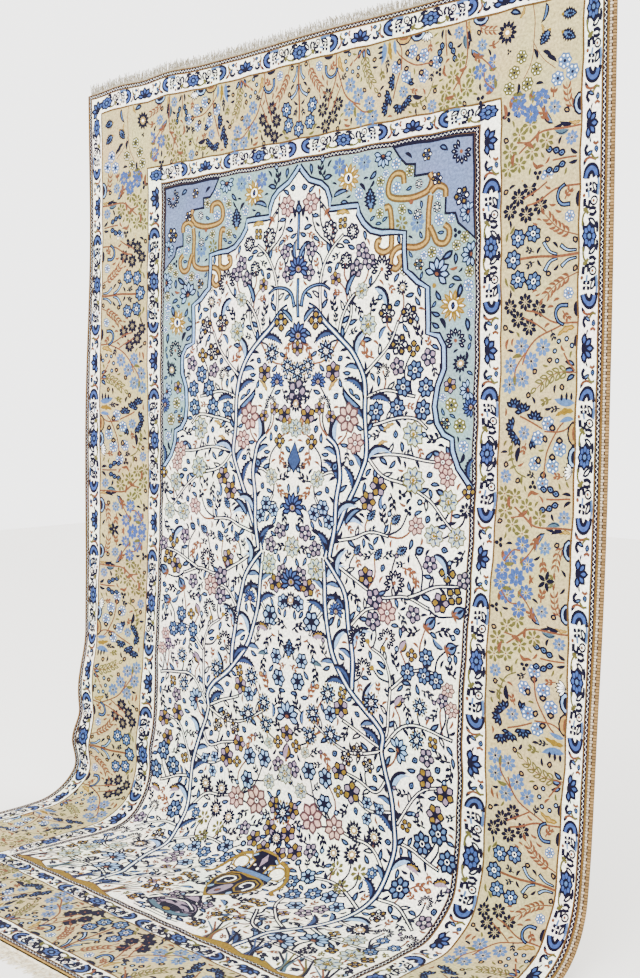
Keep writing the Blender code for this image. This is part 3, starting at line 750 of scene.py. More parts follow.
# Main border: repeats between the stemmed spray and the navy star
LINE_X = 641.0
FIRST_SPRAY, FIRST_STAR, LAST_SPRAY, LAST_STAR = 467, 1013, 1527, 2025
side = []
for spray, star in ((FIRST_SPRAY, FIRST_STAR), (LAST_SPRAY, FIRST_STAR), (LAST_SPRAY, LAST_STAR)):
    side += laid(BORDER_HALF, LINE_X + 1j * spray, -1.0, 1j * (star - spray) / 546.0)
upper = [s for s in BORDER_HALF if s[1].imag.max() < 128.0]
side += laid(upper, LINE_X + 1j * FIRST_SPRAY, -1.0, -1j)
upper = [s for s in BORDER_HALF if s[1].imag.min() > 374.0 and s[1].imag.mean() < 525.0]
side += laid(upper, LINE_X + 715j, -1.0, -1j)
end = laid([s for s in BORDER_HALF if s[1].imag.mean() < 525.0], 50.5j, 1j * 0.94, 0.9)
CORNER_ROWS = (
    ("spiky", 496, 86, 0.95, 10), ("ochre_leaf", 528, 50, 0.55, 100), ("leaf", 500, 54, 0.9, 10),
    ("comb_bud", 580, 96, 0.72, 130), ("comb_bud", 602, 78, 0.72, 4), ("comb_bud", 604, 106, 0.74, 30),
    ("ochre_leaf", 562, 84, 0.45, 60), ("long_leaf", 570, 51, 0.55, 86), ("navy_leaf", 549, 122, 1.0, 60),
    ("navy_leaf", 566, 128, 1.1, 24), ("navy_leaf", 574, 138, 1.1, 20), ("navy_leaf", 552, 182, 0.8, -10),
    ("navy_leaf", 518, 172, 0.9, 80), ("drops", 498, 118, 0.5, 0), ("eyed_flower", 524, 132, 1.0, 0),
    ("eyed_flower", 509, 154, 1.0, 10), ("eyed_flower", 500, 179, 1.0, 20), ("eyed_flower", 536, 178, 1.0, 0),
    ("eyed_flower", 553, 157, 1.0, 12), ("white_flower", 608, 152, 1.0, 0), ("white_flower", 595, 178, 1.0, 9),
    ("white_flower", 623, 172, 1.0, 0), ("dot", 608, 152, 0.7, 0), ("dot", 595, 178, 0.7, 0),
    ("dot", 623, 172, 0.7, 0), ("olive_leaf", 550, 196, 0.9, 90), ("olive_leaf", 506, 202, 1.4, 2),
    ("blue_daisy", 520, 215, 1.0, 0), ("blue_daisy", 545, 229, 1.0, 9), ("blue_daisy", 566, 206, 1.0, 0),
    ("rust_leaf", 488, 204, 1.3, 70),
)
end += drawn(CORNER_ROWS) + [
    ("rust", ribbon((545 + 50j, 550 + 80j, 548 + 125j, 540 + 150j, 528 + 168j), 1.8)),
    ("rust", ribbon((548 + 110j, 566 + 140j, 590 + 160j), 1.6)),
]
layout += mirrored(side + end + flipped_end(end, 0.8), 0.3)

# FIELD CHART
# Field. The spandrels' stepped arch line, its corners' darker ground, and the scrolls that fill them
ARCH = (
    0 + 248j, 10 + 258j, 30 + 275j, 60 + 287j, 75 + 300j, 83 + 318j, 84 + 337j, 155 + 340j, 157 + 355j, 170 + 372j,
    190 + 388j, 215 + 396j, 270 + 400j, 272 + 470j, 285 + 480j, 300 + 492j, 325 + 503j, 325 + 585j, 350 + 592j,
    362 + 610j, 362 + 650j, 350 + 680j, 345 + 720j, 350 + 750j, 365 + 770j, 385 + 778j, 388 + 800j, 400 + 830j,
    429 + 862j,
)
CORNER_GROUND = (
    240 + 240j, 258 + 268j, 272 + 281j, 292 + 282j, 292 + 302j, 330 + 303j, 350 + 320j, 362 + 345j, 362 + 376j,
    385 + 378j, 390 + 395j, 428.5 + 428j, 428.5 + 241.5j,
)
SCROLLS = (
    (270 + 312j, 266 + 296j, 248 + 292j, 236 + 302j, 232 + 322j, 240 + 334j, 262 + 338j, 300 + 337j, 325 + 330j,
     335 + 312j, 330 + 300j),
    (222 + 352j, 234 + 352j, 238 + 375j, 240 + 420j, 236 + 428j, 222 + 432j, 206 + 424j, 206 + 410j, 216 + 412j),
    (330 + 340j, 326 + 365j, 326 + 400j, 322 + 420j, 300 + 428j, 262 + 426j, 244 + 436j, 238 + 455j, 250 + 465j,
     262 + 455j, 258 + 440j),
    (330 + 335j, 345 + 325j, 362 + 330j, 364 + 345j),
    (330 + 395j, 338 + 410j, 345 + 425j, 360 + 428j, 370 + 418j, 372 + 402j, 362 + 393j),
)
SPANDREL_ROWS = (
    ("white_gold", 322, 265, 0.6, 0), ("white_gold", 400, 348, 0.85, 0), ("white_gold", 345, 312, 0.6, 0),
    ("navy_fan", 400, 270, 0.9, 120), ("half_fan", 415, 378, 0.7, 200), ("sunburst", 133, 285, 1.0, 0),
    ("sunburst", 380, 540, 1.0, 0), ("half_fan", 218, 255, 0.8, 90), ("comb_bud", 188, 352, 1.1, -90),
    ("half_fan", 345, 480, 1.05, -60), ("leaf", 66, 282, 1.0, -20), ("long_leaf", 92, 318, 0.7, -30),
    ("white_gold", 303, 460, 0.6, 0), ("navy_fan", 388, 600, 0.9, -90), ("spiky", 398, 642, 0.85, 0),
    ("gold_flower", 378, 680, 0.75, 20), ("eyed_flower", 382, 715, 1.2, 0), ("white_gold", 368, 750, 0.6, 0),
    ("eyed_flower", 400, 752, 1.2, 10), ("lotus", 423, 720, 0.7, 200), ("half_fan", 420, 450, 0.8, 180),
    ("half_fan", 418, 690, 0.7, 160), ("comb_leaf", 424, 850, 0.8, -100), ("gold_dot", 340, 500, 1.2, 0),
    ("leaf", 300, 500, 0.9, 60), ("leaf", 398, 500, 1.1, 100), ("navy_leaf", 350, 560, 1.3, 40),
    ("leaf", 410, 560, 1.0, 70), ("rust_leaf", 392, 470, 1.0, 150), ("navy_leaf", 410, 620, 1.0, 80),
    ("outline_leaf", 352, 640, 1.0, 60), ("leaf", 372, 790, 0.9, 60), ("navy_leaf", 412, 800, 1.1, 100),
    ("sky_daisy", 172, 262, 1.0, 0), ("blue_daisy", 110, 262, 1.1, 0), ("olive_daisy", 262, 382, 1.0, 0),
    ("sky_daisy", 300, 385, 1.1, 0), ("navy_flower", 300, 370, 0.5, 0), ("navy_flower", 345, 362, 0.5, 0),
    ("navy_flower", 305, 315, 0.45, 0), ("eyed_flower", 270, 470, 0.9, 0), ("rust_dot", 286, 345, 1.5, 0),
    ("leaf", 380, 440, 1.2, 140), ("navy_leaf", 160, 300, 1.1, 30), ("leaf", 110, 328, 0.9, 10),
    ("drops", 388, 410, 0.9, 0), ("navy_leaf", 270, 258, 1.0, 20), ("leaf", 350, 255, 0.9, 20),
)


def vine(points, wide, kinds, gap, size=1.0, lean=36.0):
    """A stem of two dark lines with a light core, and leaves in turn at its left and right."""
    shapes = lined(ribbon(points, wide, wide * 0.85), "slate", "ivory", wide * 0.34)
    if wide > 12.0:
        shapes = lined(ribbon(points, wide, wide * 0.9), "navy", "sky", 4.0)
        shapes.append(("ivory", ribbon(points, wide * 0.24, wide * 0.2)))
    points = np.array(points, complex)
    lengths = np.append(0.0, np.cumsum(np.abs(np.diff(points))))
    leaves = []
    for k in range(int((lengths[-1] - 6.0) / gap)):
        share = 8.0 + k * gap
        at, ahead = (
            np.interp(share + d, lengths, points.real) + 1j * np.interp(share + d, lengths, points.imag) for d in (0, 3)
        )
        way = 1 if k % 2 else -1
        heading = (ahead - at) / abs(ahead - at)
        foot = at + heading * 1j * way * wide * 0.3
        leaves += moved(MOTIFS[kinds[k % len(kinds)]], foot, size, math.degrees(np.angle(heading)) + way * lean, way < 0)
    return leaves + shapes


def stalks(rows, vines):
    """Thin stalks that rise from the nearest vine to each flower."""
    spots = np.concatenate([
        a + (b - a) * np.linspace(0.0, 1.0, 8, endpoint=False) for points in vines for a, b in zip(points, points[1:])
    ])
    shapes = []
    for number, (kind, x, y, _, _) in enumerate(rows):
        place = x + 1j * y
        foot = spots[np.abs(spots - place - 30j).argmin()]
        run = place - foot
        if "leaf" not in kind and 16.0 < abs(run) < 120.0:
            bow = run * (0.16j if number % 2 else -0.16j)
            line = ribbon((foot, foot + run * 0.5 + bow, place), 4.8, 3.8, 3)
            shapes.append((("navy", "slate", "rust")[number % 3], line))
    return shapes


SMALL_LEAVES = ("navy_leaf", "leaf", "outline_leaf", "navy_leaf", "slate_twig")
TRUNK_LEAVES = ("comb_leaf", "navy_leaf", "vine_leaf", "half_leaf", "navy_leaf", "leaf")
TRUNKS = (
    (205 + 1940j, 208 + 1900j, 208 + 1860j, 225 + 1830j, 245 + 1790j, 262 + 1740j, 275 + 1690j, 285 + 1640j,
     290 + 1580j, 292 + 1530j, 285 + 1480j, 265 + 1420j, 250 + 1370j),
    (250 + 1370j, 246 + 1330j, 165 + 1265j, 125 + 1215j, 105 + 1165j, 97 + 1120j, 90 + 1060j, 88 + 1020j),
    (175 + 1265j, 172 + 1210j, 160 + 1150j, 145 + 1085j, 115 + 1045j, 92 + 1020j),
    (92 + 1020j, 105 + 985j, 120 + 960j, 150 + 900j, 178 + 845j, 187 + 815j, 183 + 760j, 180 + 700j),
    (103 + 1015j, 112 + 960j, 117 + 900j, 122 + 860j, 119 + 830j, 112 + 800j, 87 + 780j),
    (180 + 700j, 173 + 660j, 148 + 620j, 118 + 590j, 78 + 560j, 48 + 530j, 28 + 520j),
)
BRANCHES = (
    (250 + 1350j, 264 + 1330j, 269 + 1250j, 254 + 1200j, 219 + 1178j),
    (187 + 820j, 240 + 808j, 300 + 815j, 360 + 820j), (115 + 985j, 160 + 975j, 200 + 960j, 250 + 965j),
    (100 + 1015j, 160 + 1050j, 230 + 1080j, 300 + 1075j, 350 + 1090j),
    (250 + 1370j, 300 + 1315j, 360 + 1310j, 420 + 1320j), (250 + 1365j, 190 + 1345j, 150 + 1330j),
    (295 + 1500j, 340 + 1430j, 395 + 1410j), (265 + 1420j, 240 + 1450j, 200 + 1440j, 160 + 1430j),
    (290 + 1650j, 340 + 1650j, 400 + 1690j), (180 + 700j, 230 + 690j, 300 + 700j),
    (183 + 760j, 240 + 745j, 300 + 740j, 330 + 760j), (148 + 620j, 170 + 590j, 183 + 565j),
    (118 + 590j, 140 + 540j, 136 + 480j), (62 + 560j, 60 + 500j, 68 + 450j, 92 + 412j, 122 + 390j), (173 + 660j, 230 + 610j, 258 + 560j),
    (110 + 590j, 116 + 552j, 132 + 522j, 152 + 502j), (292 + 1530j, 340 + 1540j, 400 + 1560j),
    (285 + 1480j, 230 + 1490j, 180 + 1465j), (262 + 1740j, 310 + 1740j, 350 + 1720j),
    (245 + 1790j, 300 + 1800j, 370 + 1790j, 410 + 1760j), (225 + 1830j, 170 + 1800j, 130 + 1760j, 110 + 1700j),
    (275 + 1690j, 220 + 1660j, 170 + 1650j, 120 + 1655j), (207 + 1900j, 260 + 1880j, 340 + 1885j, 400 + 1870j),
    (160 + 1150j, 200 + 1110j, 250 + 1100j), (97 + 1120j, 70 + 1150j, 55 + 1180j), (269 + 1250j, 320 + 1210j, 380 + 1205j),
    (300 + 1075j, 360 + 1050j, 420 + 1040j), (187 + 815j, 230 + 850j, 300 + 870j, 350 + 900j, 400 + 950j),
    (112 + 960j, 80 + 930j, 60 + 900j), (122 + 860j, 100 + 850j, 70 + 860j), (208 + 1860j, 160 + 1850j, 120 + 1800j),
    (285 + 1600j, 240 + 1560j, 190 + 1550j, 130 + 1540j), (250 + 1370j, 180 + 1390j, 110 + 1370j, 60 + 1340j),
)
FIELD_ROWS = (
    ("navy_flower", 86, 378, 1.0, 10), ("small_navy_flower", 145, 388, 1.0, 0), ("small_navy_flower", 126, 440, 1.0, 20),
    ("dot", 41, 308, 1.0, 0), ("dot", 57, 315, 1.0, 0), ("dot", 63, 332, 1.0, 0), ("pink_flower", 32, 322, 1.15, 45), ("navy_leaf", 12, 348, 1.3, -90), ("leaf", 14, 372, 1.0, -20),
    ("ochre_leaf", 100, 350, 1.0, -8), ("rust_leaf", 70, 352, 1.2, -60), ("gold_flower", 102, 474, 0.75, 20), ("leaf", 12, 402, 1.0, -10), ("outline_leaf", 38, 440, 1.3, -110),
    ("long_leaf", 16, 556, 0.8, -60), ("leaf", 16, 570, 1.0, 20),
    ("lilac_cross", 168, 425, 1.0, 0), ("lilac_cross", 186, 446, 1.0, 30), ("lilac_cross", 153, 458, 1.0, 60),
    ("navy_fan", 216, 462, 1.1, -70), ("long_leaf", 132, 510, 0.9, -80), ("lilac_cross", 36, 412, 0.9, 0),
    ("half_leaf", 198, 496, 1.0, 30), ("spiky", 265, 500, 0.7, 0), ("aqua_flower", 168, 500, 0.65, 0),
    ("gold_cross", 48, 550, 1.2, 0), ("white_gold", 230, 545, 1.0, 0), ("white_gold", 283, 550, 1.0, 20),
    ("white_gold", 258, 605, 1.05, 0), ("aqua_flower", 183, 565, 0.85, 0), ("gold_cross", 293, 612, 1.0, 0),
    ("blue_star", 76, 612, 0.95, 0), ("blue_star", 28, 640, 0.8, 0), ("lotus", 58, 672, 0.8, -90),
    ("navy_fan", 76, 714, 0.7, -90), ("navy_fan", 223, 655, 0.7, -60), ("rosette", 298, 652, 1.1, 0),
    ("rosette", 270, 682, 1.1, 20), ("rosette", 323, 685, 1.1, 10), ("rosette", 258, 722, 1.1, 0),
    ("rosette", 318, 725, 1.1, 20), ("rosette", 208, 728, 1.1, 10), ("comb_leaf", 190, 705, 1.0, -10),
    ("ochre_leaf", 88, 690, 0.9, -60), ("ochre_leaf", 228, 765, 0.8, -40), ("ochre_leaf", 214, 792, 0.7, -30),
    ("long_leaf", 173, 722, 1.1, 200), ("pink_flower", 138, 742, 1.5, 20), ("pink_flower", 158, 790, 1.1, 0),
    ("gold_flower", 93, 740, 0.7, 0), ("gold_flower", 63, 725, 0.7, 30), ("gold_cross", 46, 790, 1.0, 0),
    ("aqua_flower", 298, 770, 1.0, 0), ("leaf", 340, 800, 1.2, 20), ("aqua_flower", 64, 865, 0.75, 0),
    ("bud", 102, 850, 1.3, -60), ("pale_rosette", 82, 920, 0.95, 0), ("pale_rosette", 97, 947, 0.9, 20),
    ("pale_rosette", 57, 935, 0.9, 10), ("navy_leaf", 50, 968, 1.2, 10), ("navy_leaf", 84, 990, 1.2, 30),
    ("long_leaf", 140, 955, 1.0, -60), ("comb_bud", 195, 938, 0.75, -50), ("comb_bud", 252, 940, 0.75, -40),
    ("comb_bud", 165, 1008, 0.7, -60), ("comb_bud", 215, 1012, 0.75, -50), ("comb_bud", 268, 995, 0.75, -30),
    ("gold_flower", 220, 870, 1.05, 0), ("aqua_flower", 302, 855, 1.0, 0), ("leaf", 350, 872, 1.2, 20),
    ("pink_flower", 367, 820, 1.1, 0), ("pink_flower", 377, 848, 1.0, 40), ("drops", 275, 885, 1.0, 0),
    ("drops", 292, 912, 1.0, 60), ("berry", 317, 895, 1.0, 0), ("aqua_flower", 382, 890, 0.85, 0),
    ("aqua_flower", 352, 955, 0.85, 15), ("aqua_flower", 402, 955, 0.8, 0), ("navy_fan", 267, 1052, 1.05, -90),
    ("gold_flower", 197, 1045, 1.0, 20), ("gold_cross", 387, 1020, 1.2, 0), ("gold_cross", 404, 1060, 1.2, 30),
    ("lilac_cross", 422, 1030, 0.9, 0), ("pink_flower", 312, 940, 1.0, 0), ("half_leaf", 352, 990, 0.9, 20),
    ("bud", 310, 992, 1.2, -30), ("gold_cross", 424, 870, 0.9, 0), ("star", 422, 905, 1.0, 0),
    ("aqua_flower", 67, 1045, 0.9, 0), ("lilac_cross", 220, 1085, 1.2, 0), ("pink_flower", 252, 1108, 1.2, 30),
    ("lilac_cross", 218, 1128, 1.1, 10), ("bell", 345, 1128, 1.0, -50), ("bell", 405, 1098, 0.95, -40),
    ("bell", 392, 1162, 0.9, -30), ("navy_fan", 182, 1166, 1.0, -90), ("navy_fan", 255, 1158, 0.9, -60),
    ("navy_fan", 200, 1222, 0.95, -100), ("gold_dot", 210, 1168, 1.4, 0), ("gold_dot", 250, 1178, 1.4, 0),
    ("gold_dot", 222, 1218, 1.4, 0), ("lotus", 125, 1122, 0.75, -90), ("drops", 125, 1092, 1.0, 0),
    ("rosette", 350, 1180, 1.0, 0), ("rosette", 308, 1212, 1.0, 10), ("rosette", 347, 1214, 0.95, 20),
    ("rosette", 377, 1217, 1.0, 0), ("gold_leaf", 62, 1180, 0.9, -20), ("lilac_leaf", 60, 1232, 1.0, -10),
    ("pale_rosette", 60, 1150, 1.3, 0), ("blue_star", 110, 1285, 0.9, 0), ("blue_star", 225, 1285, 0.9, 20),
    ("blue_star", 72, 1332, 0.85, 10), ("tulip", 285, 1282, 0.9, -60), ("blue_star", 342, 1272, 0.75, 0),
    ("blue_star", 335, 1334, 0.8, 30), ("pink_flower", 405, 1232, 0.8, 0), ("lilac_cross", 393, 1252, 0.8, 30),
    ("pink_flower", 414, 1266, 0.8, 0), ("tulip", 292, 1178, 0.8, -70), ("blue_star", 64, 1376, 0.8, 0),
    ("blue_star", 120, 1364, 0.9, 0), ("white_gold", 162, 1402, 0.8, 0), ("white_gold", 192, 1382, 0.75, 20),
    ("white_gold", 218, 1404, 0.8, 0), ("gold_flower", 145, 1430, 0.95, 0), ("gold_flower", 180, 1466, 1.1, 30),
    ("gold_flower", 355, 1400, 1.0, 0), ("gold_flower", 402, 1420, 1.05, 20), ("gold_flower", 382, 1462, 1.0, 0),
    ("pale_rosette", 65, 1447, 1.15, 0), ("pale_rosette", 110, 1452, 1.15, 20), ("pale_rosette", 110, 1502, 1.15, 0),
    ("aqua_flower", 45, 1492, 0.7, 0), ("pale_rosette", 220, 1475, 0.75, 0), ("pale_rosette", 222, 1507, 0.75, 10),
    ("pale_rosette", 252, 1482, 0.7, 0), ("aqua_flower", 52, 1412, 0.5, 0), ("gold_cross", 26, 1405, 0.9, 0),
    ("spiky", 190, 1535, 1.0, 0), ("spiky", 242, 1537, 1.0, 20), ("spiky", 197, 1582, 1.0, 0),
    ("pink_flower", 80, 1538, 1.6, 20), ("pink_flower", 142, 1545, 1.3, 0), ("rosette", 355, 1520, 1.25, 0),
    ("rosette", 390, 1493, 1.25, 20), ("rosette", 415, 1540, 1.25, 10), ("gold_leaf", 325, 1568, 0.9, 0),
    ("gold_leaf", 390, 1585, 0.9, -20), ("half_fan", 290, 1362, 0.95, -30), ("pale_rosette", 120, 1655, 1.1, 0),
    ("rosette", 160, 1690, 1.1, 0), ("rosette", 93, 1682, 1.1, 20), ("pale_rosette", 197, 1685, 1.1, 10),
    ("rosette", 123, 1712, 1.1, 0), ("pale_rosette", 160, 1742, 1.1, 20), ("berry", 80, 1635, 1.2, 0),
    ("spiky", 152, 1592, 0.9, 0), ("olive_daisy", 172, 1620, 1.2, 0), ("olive_daisy", 226, 1612, 1.2, 0),
    ("olive_daisy", 202, 1652, 1.2, 20), ("rosette", 325, 1615, 1.3, 0), ("rosette", 255, 1605, 0.75, 0),
    ("navy_fan", 390, 1624, 0.7, -90), ("white_gold", 318, 1685, 0.9, 0), ("spiky", 318, 1738, 1.15, 0),
    ("navy_fan", 360, 1724, 0.8, -90), ("navy_fan", 412, 1718, 0.85, -80), ("rosette", 378, 1745, 0.75, 0),
    ("rosette", 412, 1752, 0.75, 10), ("rosette", 390, 1790, 0.8, 0), ("aqua_flower", 340, 1775, 0.9, 0),
    ("half_fan", 290, 1825, 1.1, -90), ("aqua_flower", 375, 1822, 0.95, 10), ("half_fan", 250, 1868, 1.1, -80),
    ("aqua_flower", 370, 1872, 1.0, 0), ("small_navy_flower", 310, 1860, 0.9, 0), ("bud", 130, 1790, 1.0, -60),
    ("bud", 150, 1830, 1.0, -30), ("gold_flower", 125, 1850, 0.6, 0), ("gold_flower", 170, 1780, 0.6, 0),
    ("bud", 175, 1862, 0.9, 20), ("berry", 140, 1870, 0.8, 0), ("rust_dot", 112, 1822, 1.2, 0),
)
GRASSES = (
    (140, ("teal", "rust", "slate", "olive", "rust")), (186, ("navy", "blue", "navy")),
    (244, ("navy", "blue", "navy", "blue", "navy")), (322, ("slate", "teal", "olive", "slate", "teal")),
    (366, ("rust", "olive", "slate")), (406, ("teal", "rust", "slate", "navy")),
)
HILLS = (
    108 + 1957j, 126 + 1950j, 150 + 1944j, 175 + 1938j, 200 + 1935j, 226 + 1941j, 246 + 1945j, 266 + 1938j,
    290 + 1937j, 312 + 1944j, 332 + 1949j, 352 + 1943j, 376 + 1936j, 402 + 1940j, 428 + 1947j, 428 + 1957j,
)
scrolls = []
for scroll in SCROLLS:
    scrolls += [("ochre", ribbon(scroll, 14.0)), ("tan", ribbon(scroll, 5.0))]
field = [("aqua", np.array(ARCH + (428.5 + 862j, 428.5 + 241.5j, 0 + 241.5j)))]
field += lined(np.array(CORNER_GROUND), "navy", "corner", 5.0) + scrolls + drawn(SPANDREL_ROWS)
field += [("navy", ribbon(ARCH, 16.0, steps=1)), ("pale", ribbon(ARCH, 6.6, steps=1))]
field += stalks(FIELD_ROWS, BRANCHES + TRUNKS)
for branch in BRANCHES:
    field += vine(branch, 9.6, SMALL_LEAVES, 22.0, 1.0)
for trunk in TRUNKS:
    field += vine(trunk, 16.0, TRUNK_LEAVES, 24.0, 1.0, 34.0)
for foot, inks in GRASSES:
    for blade, ink in enumerate(inks):
        tip = foot - 44 + 12 * blade + 1j * (1896 - 7 * blade)
        field.append((ink, ribbon((foot + 4 * blade + 1946j, foot + 2 * blade - 4 + 1922j, tip), 6.4, 3.0, 3)))
field += lined(ribbon((9 + 524j, 18 + 497j, 40 + 483j, 66 + 482j, 88 + 494j), 11.0, 7.0), "navy", "sky", 3.4)
field += lined(np.array(HILLS), "ochre", "gold", 2.8) + drawn(FIELD_ROWS)
MEADOW_FILLERS = (
    (9.0, ("rust_twig", "slate_twig", "olive_twig", "navy_spray", "gold_cross"), 0.8),
    (6.0, ("rust_leaf", "navy_leaf", "olive_leaf", "gold_bud", "leaf"), 0.9),
)
FIELD_FILLERS = (
    (16.0, ("navy_spray", "pale_rosette", "rust_spray", "lilac_cross", "navy_spray", "gold_flower"), 1.0),
    (12.0, ("navy_spray", "bud", "slate_spray", "gold_cross", "vine_leaf"), 0.85),
    (9.0, ("leaf", "slate_twig", "rust_twig", "leaf", "bud"), 0.9),
    (6.5, ("navy_leaf", "leaf", "rust_leaf", "leaf"), 0.85),
    (4.5, ("navy_leaf", "navy_leaf", "rust_leaf"), 0.75),
)
SPANDREL_FILLERS = (
    (9.0, ("white_flower", "eyed_flower", "leaf"), 0.9), (6.5, ("white_flower", "navy_leaf", "leaf"), 0.65),
)
inside_arch = ("ivory", np.array(ARCH + (0 + 862j,)))
field += filled(field[1:] + [inside_arch], (90.0, 426.0, 246.0, 800.0), SPANDREL_FILLERS, 3)
field += filled(field[1:], (62.0, 426.0, 1770.0, 1936.0), MEADOW_FILLERS, 9)
field += filled(field[1:], (8.0, 426.0, 246.0, 1938.0), FIELD_FILLERS, 5)
# On the floor the drawing is bolder
field = [bolder([shape], 0.7)[0] if shape[1].imag.mean() > 1780.0 else shape for shape in field]

# The field's axis, from the arch's tip down to the vase and its foot
VASE_HANDLE = (40 + 1645j, 64 + 1655j, 80 + 1680j, 85 + 1708j, 85 + 1732j, 100 + 1742j)
VASE_NECK = (0 + 1630j, 24 + 1634j, 44 + 1650j, 36 + 1660j, 25 + 1664j, 23 + 1692j)
VASE_BODY = (0 + 1704j, 24 + 1704j, 46 + 1712j, 57 + 1732j, 54 + 1760j, 38 + 1788j, 16 + 1812j, 0 + 1828j)
VASE_LOBE = (5 + 1746j, 7 + 1724j, 22 + 1713j, 40 + 1719j, 48 + 1738j, 44 + 1760j, 30 + 1776j, 14 + 1764j)
VASE_SWIRL = (38 + 1762j, 40 + 1738j, 28 + 1726j, 16 + 1732j, 18 + 1750j, 28 + 1750j)
VASE_FOOT = (0 + 1826j, 14 + 1842j, 28 + 1852j, 28 + 1860j)
VASE_MOUND = (0 + 1858j, 26 + 1864j, 50 + 1880j, 64 + 1902j, 54 + 1920j, 26 + 1928j)
field += moved(lined(ellipse(42, 42, 14), "gold", "ivory", 4.8), 52 + 1677j)
field += [("ochre", ribbon(VASE_HANDLE, 9.6)), ("gold", ribbon(VASE_HANDLE, 5.8))]
AXIS_ROWS = (
    ("bud", 0, 340, 1.2, -90), ("lotus", 0, 448, 1.1, -90), ("long_leaf", 4, 428, 0.7, -70),
    ("long_leaf", -4, 428, 0.7, -110), ("lotus", 0, 580, 1.1, -90),
    ("gold_flower", 0, 604, 0.8, -90), ("blue_star", 0, 650, 0.9, 0), ("lilac_cross", 0, 690, 1.5, 0),
    ("spiky", 0, 714, 0.9, -90), ("aqua_flower", 0, 765, 0.8, 0), ("lotus", 0, 925, 1.2, -90),
    ("aqua_flower", 0, 1005, 0.9, 0), ("lotus", 0, 1078, 1.2, -90), ("spiky", 0, 1115, 0.9, 0),
    ("comb_bud", 0, 1230, 1.0, -90), ("half_fan", 0, 1350, 1.2, -90), ("gold_flower", 0, 1385, 0.9, -90),
    ("tulip", 0, 1440, 1.1, -90), ("aqua_flower", 0, 1467, 0.8, 0), ("blue_star", 0, 1545, 1.1, 0),
    ("spiky", 0, 1600, 0.9, 0),
)
axis = lined(ribbon((0 + 312j, 0 + 410j), 9.0), "navy", "sky", 3.2) + lined(ribbon((0 + 466j, 0 + 545j), 9.0), "navy", "sky", 3.2)
axis += lined(np.array([0 + 790j, 20 + 830j, 0 + 858j, -20 + 830j]), "navy", "blue", 3.0)
axis += drawn((("pale_rosette", -27, 1275, 1.1, 0), ("pale_rosette", 27, 1275, 1.1, 0), ("aqua_flower", -30, 765, 0.5, 0),
               ("aqua_flower", 30, 765, 0.5, 0))) + drawn(AXIS_ROWS)


def both_halves(half):
    """Closed outline of a right half and its mirror image."""
    return np.concatenate((half, -np.conj(half)[::-1]))


axis += lined(both_halves(VASE_NECK), "gold", "navy", 3.8) + lined(rectangle(50, 1688, 1707), "navy", "sky", 3.3)
axis += [("lilac", np.array([0 + 1640j, 8 + 1656j, 0 + 1676j, -8 + 1656j])), ("white", ellipse(7, 8, 6) + 1682j)]
axis += lined(both_halves(VASE_BODY), "gold", "navy", 4.6) + [("lilac", ellipse(24, 62) + 1784j)]
detail = lined(np.array(VASE_LOBE), "gold", "slate", 3.6) + [
    ("navy", ribbon(VASE_SWIRL, 10.0)), ("white", ribbon(VASE_SWIRL, 4.0)), ("pale", ellipse(8, 16, 8) + 27 + 1786j),
    ("white", ellipse(6, 6, 6) + 14 + 1674j), ("pale", ribbon((26 + 1646j, 36 + 1652j), 4.0)),
]
axis += mirrored(detail) + moved(lined(ellipse(11, 18, 8), "navy", "rust", 2.2), 1790j)
axis += lined(both_halves(VASE_FOOT), "navy", "lilac", 4.6) + lined(both_halves(VASE_MOUND), "navy", "lilac", 8.0)
axis += mirrored([
    ("navy", ribbon((6 + 1884j, 22 + 1882j, 40 + 1890j, 52 + 1904j), 7.5)),
    ("navy", ribbon((10 + 1898j, 24 + 1900j, 38 + 1910j), 6.5)), ("navy", leaf(26, 11, 30) * 1j + 12 + 1900j),
])
curl = lined(ribbon((8 + 1872j, 28 + 1872j, 46 + 1884j, 48 + 1898j, 34 + 1903j, 24 + 1896j), 10.0, 7.0), "navy", "lilac", 3.4)
axis += [("navy", ellipse(56, 30) + 1906j)] + mirrored(curl + [("navy", ribbon((14 + 1846j, 26 + 1858j, 40 + 1868j), 7.0, 4.0))])
axis += [
    ("navy", ribbon((-48 + 1893j, -26 + 1877j, 0 + 1868j, 26 + 1877j, 48 + 1893j), 7.0)),
    ("white", ribbon((-40 + 1886j, -22 + 1876j, 0 + 1868j, 22 + 1876j, 40 + 1886j), 2.4)),
    ("teal", ribbon((-52 + 1908j, -26 + 1918j, 0 + 1920j, 26 + 1918j, 52 + 1908j), 10.0)),
    ("navy", ribbon((-70 + 1932j, 0 + 1935j, 70 + 1932j), 3.6)), ("navy", ribbon((-62 + 1940j, 0 + 1943j, 62 + 1940j), 3.0)),
] + moved(lined(ellipse(24, 18), "navy", "gold", 3.0), 1914j)
layout += mirrored(field) + axis


# A hand-knotted rug is never quite true. Where the charted upright lines really run, in
# millimetres from the middle, at each level down the rug
LINES = (-690, -642, -482, -437, 0, 437, 482, 642, 690)
WANDER = (
    (0, -640, -475, -424, 0, 437, 481, 645), (300, -642, -473, -424, -1, 438, 484, 641),
    (460, -641, -480, -430, -4, 441, 486, 640), (620, -640, -482, -434, -5, 441, 488, 641),
    (880, -636, -480, -438, -18, 436, 483, 640), (1040, -637, -478, -436, -17, 433, 476, 637),
    (1180, -643, -472, -432, -12, 430, 476, 644), (1300, -646, -474, -430, -8, 430, 483, 647),
    (1400, -638, -478, -425, -5, 437, 490, 643), (1500, -630, -485, -435, -4, 438, 492, 643),
    (1600, -632, -468, -420, 0, 443, 495, 640), (1700, -635, -465, -410, 8, 445, 497, 640),
    (1957, -640, -470, -440, 0, 440, 485, 640),
)
TILE = 30.0
BEND = (1440.0, 1800.0)


